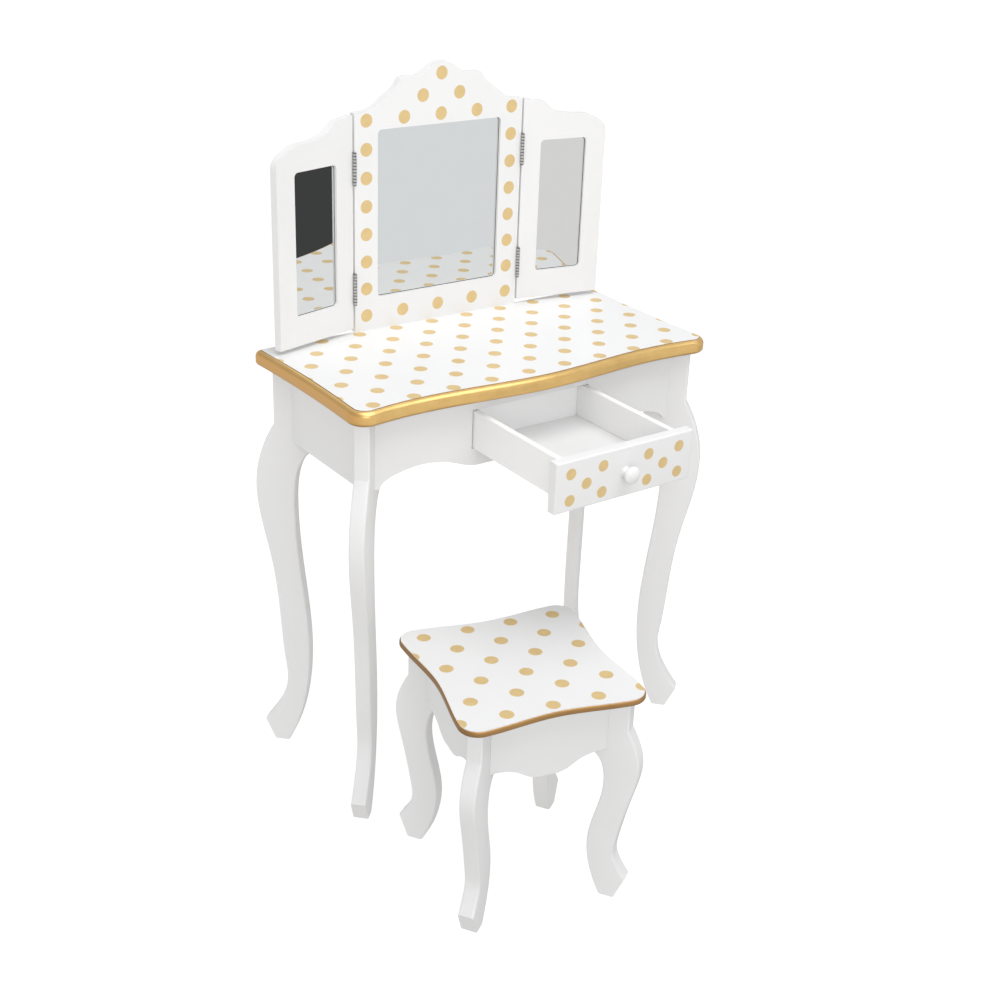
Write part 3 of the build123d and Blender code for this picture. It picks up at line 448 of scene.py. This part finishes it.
def make_gold(name, light, dark, under, roughness, metal):
    """Gold with painted shade: it darkens towards the underside and on the sides, where shade falls."""
    recipe = Recipe(name)
    place = recipe.place()
    flakes = recipe.noise(place, 0.7 * MM, 2.0, 0.7)
    cloud = recipe.noise(place, 25 * MM, 3.0)
    streaks = recipe.noise(recipe.place(stretch=(8, 8, 1)), 1.6 * MM, 2.0)
    lit = recipe.mix(dark, light, flakes * 0.7 + cloud * 0.8 + streaks * 0.3 - 0.3)
    # Painted shade: the gold turns to its third colour on faces that turn down and on faces that turn to
    # the sides.
    unshaded_upward = ((recipe.facing("Z") + 0.95) / 0.95).clamped()
    colour = recipe.mix(recipe.mix(under, lit, unshaded_upward), under, abs(recipe.facing("X")) * SIDE_SHADE)
    relief = recipe.bump(streaks, 0.05 * MM)
    relief = recipe.bump(flakes, 0.02 * MM, relief)
    gloss = cloud * 0.12 + flakes * 0.10 + (roughness - 0.1)
    return recipe.finish(Base_Color=colour, Metallic=metal, Roughness=gloss, Normal=relief)


edge_gold = make_gold("bright_gold_paint", *BRIGHT_GOLD_AND_SHADE, roughness=0.34, metal=0.8)
stool_gold = make_gold("old_gold_paint", *OLD_GOLD_AND_SHADE, roughness=0.42, metal=0.6)
print("made", edge_gold.name, stool_gold.name)

# %% [markdown]
# ## Mirror glass
#
# A mirror is silver behind glass. A fully metallic surface with almost no roughness stands for both.
# A breath of dust raises the roughness a little in patches, and the silvering is faintly green.
# Where the glass meets its frame a dark line is painted on it: painted shade and reflection of the
# narrow gap there.

# %% Mirror glass
GAP_SHADE_WIDTH = 0.9 * MM
GAP_BLUR = 0.3 * MM
WINDOW_CORNER_R = 6.0 * MM
LEAF_WINDOWS = {
    "mirror_centre_glass": (208.4 * MM, 239.7 * MM, 0.0),
    "wing_left_glass": (77.2 * MM, 200.4 * MM, 14.4),
    "wing_right_glass": (77.2 * MM, 200.4 * MM, -9.1),
}


def make_mirror(node, width, height, turn):
    """Mirror with a painted dark line round its window, the shade and reflection of the gap at its
    frame.

    The distance to a rounded rectangle is the length of what sticks out past its straight sides,
    less the corner radius; the line is where that distance is within GAP_SHADE_WIDTH of the rim."""
    recipe = Recipe("silvered_" + node)
    place = recipe.place(middle(node), radians(turn))
    dust = recipe.noise(place, 30 * MM, 4.0)
    tone = recipe.mix((0.73, 0.75, 0.745, 1), (0.76, 0.77, 0.77, 1), dust)
    across = abs(place.part("X")) - (width / 2 - WINDOW_CORNER_R)
    up = abs(place.part("Z")) - (height / 2 - WINDOW_CORNER_R)
    reach_across, reach_up = across.largest(0.0), up.largest(0.0)
    rim = (reach_across * reach_across + reach_up * reach_up) ** 0.5 - WINDOW_CORNER_R
    # Painted shade: the dark line round the window stands for the shadowed gap and its reflection.
    line = ((rim + GAP_SHADE_WIDTH) / GAP_BLUR + 0.5).clamped()
    rough = (dust - 0.55).clamped() * 0.05 + 0.012 + line * 0.4
    return recipe.finish(Base_Color=recipe.mix(tone, grey(0.03), line), Metallic=1.0, Roughness=rough)


mirrors = {node: make_mirror(node, *window) for node, window in LEAF_WINDOWS.items()}
print("made", len(mirrors), "mirrors")

# %% [markdown]
# ## Metal, wood and board behind the scenes
#
# The hinges are nickel plated steel that has dulled, the screws and plates are zinc plated. The
# corner blocks and runners are plain softwood: growth rings are rings round a far-off heart, so
# their pattern is the sine of the distance from a line, bent by noise. The mirrors' backs are
# brown hardboard, which is pressed fibre with a mottled face.

# %% Metals


def make_metal(name, light, dark, roughness):
    recipe = Recipe(name)
    place = recipe.place()
    tarnish = recipe.noise(place, 4 * MM, 4.0, 0.6)
    scratches = recipe.noise(recipe.place(stretch=(1, 1, 12)), 0.6 * MM, 2.0)
    colour = recipe.mix(grey(dark), grey(light), tarnish * 0.8 + scratches * 0.4 - 0.1)
    return recipe.finish(Base_Color=colour, Metallic=1.0, Roughness=tarnish * 0.2 + (roughness - 0.1),
                         Normal=recipe.bump(scratches, 0.02 * MM))


KNUCKLE_PITCH = 4.5 * MM
JOINT_HALF, JOINT_BLUR = 0.17, 0.06
HINGE_FOOT, HINGE_STEP = 43.0 * MM, 172.5 * MM


def make_hinge_metal():
    """Dulled nickel with dark grease in the joints of the knuckles, which repeat up each hinge."""
    recipe = Recipe("dulled_nickel")
    place = recipe.place(datum)
    tarnish = recipe.noise(place, 3 * MM, 4.0, 0.6)
    height = place.part("Z") - HINGE_FOOT
    turn = (height - height.over(HINGE_STEP / 2) * HINGE_STEP) / KNUCKLE_PITCH
    joint = ((JOINT_HALF - abs(turn - turn.rounded())) / JOINT_BLUR).clamped()
    colour = recipe.mix(grey(0.30), grey(0.72), tarnish * 1.4 - 0.2)
    return recipe.finish(Base_Color=recipe.mix(colour, grey(0.03), joint * 0.9), Metallic=1.0,
                         Roughness=tarnish * 0.2 + 0.2 + joint * 0.3,
                         Normal=recipe.bump(1.0 - joint, 0.15 * MM))


hinge_steel = make_hinge_metal()
screw_steel = make_metal("zinc_screws", 0.62, 0.36, 0.32)
plate_steel = make_metal("zinc_plate", 0.66, 0.42, 0.38)

# %% Wood, hardboard, base board and plastic


HEART = (0.0, 0.11, 0.30)
RING_PITCH = 4.5 * MM
RING_BEND = 6 * MM


def make_softwood():
    recipe = Recipe("bare_softwood")
    place = recipe.place(HEART)
    bend = recipe.noise(place, 60 * MM, 2.0) * RING_BEND
    across = place.part("Y")
    up = place.part("Z")
    ring = ((across * across + up * up) ** 0.5 + bend) * (tau / RING_PITCH)
    wave = recipe.node("ShaderNodeMath", {"operation": "SINE"}, {0: ring}) * 0.5 + 0.5
    fibre = recipe.noise(recipe.place(stretch=(20, 1, 1)), 0.7 * MM, 3.0)
    colour = recipe.mix((0.66, 0.47, 0.27, 1), (0.50, 0.31, 0.15, 1), wave ** 3.0 * 0.7 + fibre * 0.4)
    return recipe.finish(Base_Color=colour, Roughness=fibre * 0.2 + 0.5,
                         Normal=recipe.bump(fibre, 0.08 * MM))


def make_hardboard():
    recipe = Recipe("brown_hardboard")
    place = recipe.place()
    fibre = recipe.noise(place, 1.4 * MM, 4.0, 0.7)
    cloud = recipe.noise(place, 20 * MM, 3.0)
    colour = recipe.mix((0.20, 0.115, 0.058, 1), (0.36, 0.23, 0.13, 1), fibre * 0.7 + cloud * 0.5 - 0.1)
    return recipe.finish(Base_Color=colour, Roughness=fibre * 0.2 + 0.55,
                         Normal=recipe.bump(fibre, 0.06 * MM))


def make_base_board():
    recipe = Recipe("white_base_board")
    place = recipe.place()
    weave = recipe.noise(place, 0.9 * MM, 3.0, 0.6)
    cloud = recipe.noise(place, 50 * MM, 2.0)
    colour = recipe.mix((0.75, 0.75, 0.75, 1), (0.80, 0.80, 0.80, 1), weave * 0.5 + cloud * 0.5)
    return recipe.finish(Base_Color=colour, Roughness=cloud * 0.15 + 0.42,
                         Normal=recipe.bump(weave, 0.03 * MM))


def make_plastic():
    recipe = Recipe("clip_plastic")
    grain = recipe.noise(recipe.place(), 0.5 * MM, 2.0)
    colour = recipe.mix((0.66, 0.66, 0.64, 1), (0.74, 0.74, 0.72, 1), grain)
    return recipe.finish(Base_Color=colour, Roughness=grain * 0.15 + 0.35,
                         Normal=recipe.bump(grain, 0.02 * MM))


softwood, hardboard = make_softwood(), make_hardboard()
base_board, clip_plastic = make_base_board(), make_plastic()
print("made", softwood.name, hardboard.name, base_board.name, clip_plastic.name)

# %% [markdown]
# ## Every CAD piece gets its finish
#
# The record names a material slot for each piece. Most slots have one material. The dotted boards
# and the mirrors each have their own, because their patterns start at different places, and the
# drawer's box has a brighter white than the outside: painted light that lifts the shade inside it.

# %% Finishes by slot
BY_SLOT = {
    "white_satin_paint": white_paint,
    "gold_edge": edge_gold,
    "stool_gold_edge": stool_gold,
    "hardboard": hardboard,
    "white_base_board": base_board,
    "clip_plastic": clip_plastic,
    "bare_softwood": softwood,
    "hinge_steel": hinge_steel,
    "screw_steel": screw_steel,
    "plate_steel": plate_steel,
}
OWN_FINISH = {
    "tabletop": top_paint,
    "stool_seat": seat_paint,
    "mirror_centre_frame": mirror_paint,
    "drawer_front": drawer_paint,
    "drawer_side_left": lightened_box_paint,
    "drawer_side_right": lightened_box_paint,
    "drawer_back": lightened_box_paint,
    **mirrors,
}
slot_of = {entry["node"]: entry["material_slot"] for entry in frame["record"]["subparts"]}


def dress(piece, material):
    """Gives a piece its one material."""
    piece.data.materials.clear()
    piece.data.materials.append(material)


for name, node in nodes.items():
    dress(node, OWN_FINISH.get(name) or BY_SLOT[slot_of[name]])
print("dressed", len(nodes), "pieces")

# %% [markdown]
# ## Softened edges
#
# Fibreboard is sanded before it is painted, and the paint rounds its edges further. A highlight
# along each edge is what makes a board look painted. A copy of the CAD piece has its triangles
# merged, its flat faces joined, and a small Bevel modifier on its sharp edges; it stands for the
# CAD piece, which stays in the model for its collision.

# %% Sanded copies
SHARP = radians(28)
FLAT = radians(0.3)
BEVEL_SEGMENTS = 2


def sanded(node, edge):
    """A copy of a CAD piece whose sharp edges are rounded to a radius of edge metres."""
    source = nodes[node]
    mesh = source.data.copy()
    if "custom_normal" in mesh.attributes:
        mesh.attributes.remove(mesh.attributes["custom_normal"])
    build = bmesh.new()
    build.from_mesh(mesh)
    bmesh.ops.remove_doubles(build, verts=build.verts, dist=1e-6)
    bmesh.ops.dissolve_limit(build, angle_limit=FLAT, verts=build.verts, edges=build.edges)
    build.to_mesh(mesh)
    build.free()
    piece = add_object(node + "_sanded", mesh)
    bevel = piece.modifiers.new("sanding", "BEVEL")
    bevel.width = edge
    bevel.segments = BEVEL_SEGMENTS
    bevel.limit_method = "ANGLE"
    bevel.angle_limit = SHARP
    bevel.harden_normals = True
    mesh.shade_smooth()
    mesh.set_sharp_from_angle(angle=SHARP)
    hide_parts(node)
    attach(piece, source["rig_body"])
    return piece


FRAME_EDGE = 1.6 * MM
BOARD_EDGE = 0.9 * MM
FOOT_EDGE = 1.2 * MM
SIDES = ("front", "left", "right", "back")
DRAWER_BOARDS = ["drawer_front", "drawer_side_left", "drawer_side_right", "drawer_back"]
STOOL_SIDES = ("front", "back", "left", "right")
SANDING = {
    FRAME_EDGE: ["mirror_centre_frame", "wing_left_frame", "wing_right_frame"],
    BOARD_EDGE: ["apron_" + side for side in SIDES] + DRAWER_BOARDS
    + ["stool_apron_" + side for side in STOOL_SIDES],
    FOOT_EDGE: [stand + "leg_" + corner for stand in ("", "stool_")
                for corner in ("front_left", "front_right", "back_left", "back_right")],
}
for edge, names in SANDING.items():
    for name in names:
        sanded(name, edge)
print("sanded", sum(len(names) for names in SANDING.values()), "boards")

# %% [markdown]
# ## Moulded edges
#
# The gold edge of the table is a moulding: one section carried all the way round the white board.
# It starts a little below the board, so from above it shows only where it faces you, with the dark
# groove between. The outline comes from the CAD piece, is laid out in even steps and smoothed. The
# section is a closed ring of points, so outline by section is one grid with no seam.

# %% Outline of a CAD piece
OUTLINE_STEP = 1.5 * MM
OUTLINE_SOFTNESS = 2.0 * MM
LEVEL_SLACK = 0.03 * MM


def outline_at(node, z):
    """A CAD piece's points at height z in order round its middle, then spaced evenly and smoothed.

    Smoothing is a Gaussian blur along the closed outline, done as a product in frequency."""
    mesh = nodes[node].data
    points = np.empty(len(mesh.vertices) * 3)
    mesh.vertices.foreach_get("co", points)
    points = points.reshape(-1, 3)
    ring = np.unique(np.round(points[np.abs(points[:, 2] - z) < LEVEL_SLACK, :2], 5), axis=0)
    around = ring - np.array(middle(node))[:2]
    ring = ring[np.argsort(np.arctan2(around[:, 1], around[:, 0]))]
    closed = np.vstack([ring, ring[:1]])
    along = np.concatenate([[0], np.cumsum(np.linalg.norm(np.diff(closed, axis=0), axis=1))])
    count = int(round(along[-1] / OUTLINE_STEP))
    at = np.arange(count) * along[-1] / count
    even = np.interp(at, along, closed[:, 0]) + 1j * np.interp(at, along, closed[:, 1])
    frequency = np.fft.fftfreq(count, along[-1] / count)
    blur = np.exp(-((tau * frequency * OUTLINE_SOFTNESS) ** 2) / 2)
    smooth = np.fft.ifft(np.fft.fft(even) * blur)
    print(node, "outline", len(ring), "points to", count, "round", round(along[-1], 3), "m")
    return np.column_stack([smooth.real, smooth.imag])


# %% Pieces from grids of points


def grid_faces(rows, columns, rows_close, columns_close):
    """Four-cornered faces of a grid of points, listed row by row.

    Where a direction closes, its last line is joined to its first."""
    whole_rows, whole_columns = rows - (not rows_close), columns - (not columns_close)
    i, j = np.meshgrid(np.arange(whole_rows), np.arange(whole_columns), indexing="ij")
    next_i, next_j = (i + 1) % rows, (j + 1) % columns
    corners = [i * columns + j, i * columns + next_j, next_i * columns + next_j, next_i * columns + j]
    return np.stack(corners, axis=-1).reshape(-1, 4).tolist()


def add_mesh(name, points, faces):
    """A new object with a mesh of these points and faces."""
    mesh = bpy.data.meshes.new(name)
    mesh.from_pydata(points.reshape(-1, 3).tolist(), [], faces)
    return add_object(name, mesh)


def close_surface(piece, merge_within=None):
    """Turns a piece's faces outwards and shades it smooth.

    Points nearer to each other than merge_within become one first, as the rings at a pole do."""
    mesh = piece.data
    build = bmesh.new()
    build.from_mesh(mesh)
    if merge_within is not None:
        bmesh.ops.remove_doubles(build, verts=build.verts, dist=merge_within)
    bmesh.ops.recalc_face_normals(build, faces=build.faces)
    build.to_mesh(mesh)
    build.free()
    mesh.shade_smooth()
    mesh.set_sharp_from_angle(angle=SHARP)


# %% Section carried along an outline
def moulding(name, outline, section):
    """Grid of outline by section: each section point is (inset, height) from the outline.

    The inset runs against the outline's outward normal, which is its tangent turned a quarter."""
    tangent = np.roll(outline, -1, axis=0) - np.roll(outline, 1, axis=0)
    tangent = tangent / np.linalg.norm(tangent, axis=1, keepdims=True)
    outward = np.column_stack([tangent[:, 1], -tangent[:, 0]])
    level = outline[:, None, :] - outward[:, None, :] * section[None, :, :1]
    height = np.broadcast_to(section[None, :, 1:], level.shape[:2] + (1,))
    points = np.concatenate([level, height], axis=2)
    piece = add_mesh(name, points, grid_faces(len(outline), len(section), True, True))
    close_surface(piece)
    return piece


NOSE_STEPS = 14


def nosing(width, top, bottom, shoulder, belly):
    """Closed section of a rounded nose: two quarter ellipses and an upright inner side.

    The upper one falls from (width, top) to (0, top - shoulder), the lower one comes back from
    (0, bottom + belly) to (width, bottom). Both are width wide."""
    turn = np.linspace(0, tau / 4, NOSE_STEPS)
    upper = np.column_stack([width * (1 - np.sin(turn)), top - shoulder * (1 - np.cos(turn))])
    lower = np.column_stack([width * (1 - np.cos(turn)), bottom + belly * (1 - np.sin(turn))])
    return np.vstack([upper, lower])


def stands_for(piece, node, material):
    """The piece takes a CAD node's place, finish and body."""
    dress(piece, material)
    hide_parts(node)
    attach(piece, nodes[node]["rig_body"])


# %% The two edges
LAP = 0.3 * MM
EDGE_DROP = 1.0 * MM
EDGING_WIDTH, EDGING_TOP_R = 8.0 * MM, 6.0 * MM
EDGING_SHOULDER, EDGING_BELLY = 8.0 * MM, 5.5 * MM
SEAT_EDGE_WIDTH, SEAT_EDGE_ROUND = 2.0 * MM, 1.2 * MM
SEAT_EDGE_SHOULDER, SEAT_EDGE_BELLY = 2.2 * MM, 2.4 * MM
low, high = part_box("tabletop_edging")
nose = nosing(EDGING_WIDTH + LAP, high.z - EDGE_DROP, low.z, EDGING_SHOULDER, EDGING_BELLY)
edging = moulding("edging_moulded", outline_at("tabletop_edging", high.z - EDGING_TOP_R), nose)
stands_for(edging, "tabletop_edging", edge_gold)
low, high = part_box("stool_seat_edge")
nose = nosing(SEAT_EDGE_WIDTH + LAP, high.z - EDGE_DROP, low.z, SEAT_EDGE_SHOULDER, SEAT_EDGE_BELLY)
seat_edge = moulding("seat_edge_moulded", outline_at("stool_seat_edge", low.z + SEAT_EDGE_ROUND), nose)
stands_for(seat_edge, "stool_seat_edge", stool_gold)
print("edging", [round(v * 1000, 1) for v in edging.dimensions], "mm")

# %% [markdown]
# ## The drawer's knob
#
# The knob is turned on a lathe: a small foot, a waist and a mushroom head. A lathe turns a profile
# round an axis, and so does this: the radius is a function of the distance from the drawer, and the
# whole surface is one grid of distance by angle. Rings crowd together where the radius changes fast.

# %% Turned knob
KNOB_RINGS, KNOB_SIDES = 72, 64
KNOB_WAIST, KNOB_FOOT = 0.50, 0.66
KNOB_FLARE = 0.14
POLE_MERGE = 1e-7
KNOB_HEAD_START, KNOB_WIDEST = 0.36, 0.66


def knob_radius(t, widest):
    """Radius along the knob, t from 0 at the drawer to 1 at the tip.

    The stem is a waist that flares at its foot like a falling exponential. The head is two quarter
    ellipses that meet where the knob is widest. The larger of the two is the outline."""
    stem = widest * (KNOB_WAIST + (KNOB_FOOT - KNOB_WAIST) * np.exp(-((t / KNOB_FLARE) ** 2)))
    behind = (KNOB_WIDEST - t) / (KNOB_WIDEST - KNOB_HEAD_START)
    ahead = (t - KNOB_WIDEST) / (1 - KNOB_WIDEST)
    reach = np.clip(np.where(t < KNOB_WIDEST, behind, ahead), 0, 1)
    head = widest * np.sqrt(1 - reach ** 2)
    return np.where(t < KNOB_HEAD_START, stem, np.maximum(head, stem * (t < KNOB_WIDEST)))


def turned(name, base, length, widest):
    """Surface of revolution about a line from base towards -Y, as a grid of rings by sides.

    The distance is the sine of an even angle, so rings crowd towards the tip and the dome is round."""
    even = np.linspace(0, 1, KNOB_RINGS)
    t = np.sin(even * tau / 4)
    angle = np.arange(KNOB_SIDES) * tau / KNOB_SIDES
    radius = knob_radius(t, widest)[:, None]
    x = base[0] + radius * np.cos(angle)
    z = base[2] + radius * np.sin(angle)
    y = np.broadcast_to((base[1] - length * t)[:, None], x.shape)
    foot = [list(range(KNOB_SIDES))[::-1]]
    faces = grid_faces(KNOB_RINGS, KNOB_SIDES, False, True) + foot
    piece = add_mesh(name, np.stack([x, y, z], axis=-1), faces)
    close_surface(piece, POLE_MERGE)
    return piece


low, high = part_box("drawer_knob")
knob = turned("knob_turned", ((low.x + high.x) / 2, high.y, (low.z + high.z) / 2), high.y - low.y,
              (high.x - low.x) / 2)
stands_for(knob, "drawer_knob", white_paint)
print("knob", [round(v * 1000, 1) for v in knob.dimensions], "mm")

# %% [markdown]
# ## Light and floor
#
# A pale sweep and soft lights from above and front left keep the white boards readable: their tops
# are brightest, their fronts a little less and their left sides greyest. A mirror shows what stands
# in front of it, so three cards lie on the floor out of the camera's sight. Only mirrors see them.

# %% Floor and cards
FLOOR_HALF = 9.0
FLOOR_GLOW = 0.84


def level_sheet(name, corners, z):
    """Level sheet with four corners, given anticlockwise from above."""
    points = np.column_stack([np.array(corners), np.full(4, z)])
    piece = add_mesh(name, points, [(0, 1, 2, 3)])
    return piece


def plain(name, colour, glow_colour, glow):
    """A matt finish of one colour that glows evenly."""
    return Recipe(name).finish(Base_Color=colour, Roughness=0.9, Specular_IOR_Level=0.1,
                               Emission_Color=glow_colour, Emission_Strength=glow)


FLOOR_CORNERS = [(-FLOOR_HALF, -FLOOR_HALF), (FLOOR_HALF, -FLOOR_HALF), (FLOOR_HALF, FLOOR_HALF),
                 (-FLOOR_HALF, FLOOR_HALF)]
floor = level_sheet("floor", FLOOR_CORNERS, 0.0)
pale = plain("pale_floor", grey(0.30), grey(1.0), FLOOR_GLOW)
dress(floor, pale)
floor.visible_diffuse = False
floor.visible_glossy = False
SWEEP_R, SWEEP_CURVE, SWEEP_HEIGHT = 8.8, 2.0, 9.0
SWEEP_SIDES, SWEEP_STEPS = 96, 16
SWEEP_LIFT = 0.001


def sweep():
    """The floor lifted into a wall: a quarter circle and an upright, carried round in a ring."""
    turn = np.linspace(0, tau / 4, SWEEP_STEPS)
    out = np.append(SWEEP_R - SWEEP_CURVE * (1 - np.sin(turn)), SWEEP_R)
    up = np.append(SWEEP_CURVE * (1 - np.cos(turn)) + SWEEP_LIFT, SWEEP_HEIGHT)
    angle = np.arange(SWEEP_SIDES) * tau / SWEEP_SIDES
    points = np.stack([np.outer(np.cos(angle), out), np.outer(np.sin(angle), out),
                       np.broadcast_to(up, (SWEEP_SIDES, len(up)))], axis=-1)
    piece = add_mesh("sweep", points, grid_faces(SWEEP_SIDES, len(up), True, False))
    piece.data.shade_smooth()
    dress(piece, pale)
    for rays in ("visible_diffuse", "visible_glossy", "visible_shadow"):
        setattr(piece, rays, False)


sweep()


def card(name, corners, z, glow_colour):
    """A card of an even brightness that only mirrors see."""
    piece = level_sheet(name, corners, z)
    dress(piece, plain(name + "_finish", grey(0.0), glow_colour, 1.0))
    for rays in ("visible_camera", "visible_diffuse", "visible_shadow", "visible_transmission"):
        setattr(piece, rays, False)


card("cool_card", [(0.80, -1.2), (2.46, -4.6), (3.9, -4.6), (3.9, -2.6)], 0.004, (0.86, 0.875, 0.885, 1))
card("warm_card", [(0.0, -1.2), (0.0, -4.6), (2.46, -4.6), (0.80, -1.2)], 0.005, (0.85, 0.83, 0.82, 1))
card("black_card", [(1.25, -0.98), (3.15, -2.05), (3.3, -1.55), (1.35, -0.55)], 0.006, grey(0.05))
print("floor and cards laid")

# %% Lights


def soft_box(name, place, aim, size, power):
    """A square area light at place that faces aim."""
    light = bpy.data.lights.new(name, "AREA")
    light.size = size
    light.energy = power
    lamp = add_object(name, light)
    lamp.location = place
    lamp.rotation_euler = (Vector(aim) - Vector(place)).to_track_quat("-Z", "Y").to_euler()


soft_box("overhead", (0.1, -0.7, 3.0), (0, -0.1, 0.5), 2.4, 50)
soft_box("front_left", (-1.5, -3.2, 2.1), (0, 0.1, 0.75), 1.8, 27)

# %% [markdown]
# The room's own light has three tones: a bright band all round at the level of the furniture, as a
# pale sweep gives, a cooler ceiling, and a floor that sends less straight up, so that undersides
# stay grey. The band is a little brighter on the left than on the right.

# %% Room light
ABOVE = (0.52, 0.53, 0.545, 1)
AROUND_LEFT = (1.08, 1.07, 1.06, 1)
AROUND_RIGHT = (0.74, 0.735, 0.73, 1)
BELOW = (0.46, 0.455, 0.45, 1)
world = bpy.data.worlds.new("studio")
world.use_nodes = True
bpy.context.scene.world = world


def light_room(tree):
    """Background colour from the direction: its X blends the band, its height blends the rest."""
    direction = tree.nodes.new("ShaderNodeTexCoord")
    split = tree.nodes.new("ShaderNodeSeparateXYZ")
    tree.links.new(direction.outputs["Generated"], split.inputs["Vector"])

    def blend(first, second, axis, start, end):
        ramp = tree.nodes.new("ShaderNodeMapRange")
        ramp.interpolation_type = "SMOOTHSTEP"
        ramp.inputs["From Min"].default_value = start
        ramp.inputs["From Max"].default_value = end
        tone = tree.nodes.new("ShaderNodeMix")
        tone.data_type = "RGBA"
        for number, colour in ((6, first), (7, second)):
            if isinstance(colour, tuple):
                tone.inputs[number].default_value = colour
            else:
                tree.links.new(colour, tone.inputs[number])
        tree.links.new(split.outputs[axis], ramp.inputs["Value"])
        tree.links.new(ramp.outputs["Result"], tone.inputs[0])
        return tone.outputs[2]

    band = blend(AROUND_LEFT, AROUND_RIGHT, "X", -0.8, 0.8)
    lower = blend(BELOW, band, "Z", -0.9, -0.35)
    whole = blend(lower, ABOVE, "Z", 0.05, 0.5)
    tree.links.new(whole, tree.nodes["Background"].inputs["Color"])


light_room(world.node_tree)
bpy.context.scene.view_settings.view_transform = "Standard"
print("room lit")
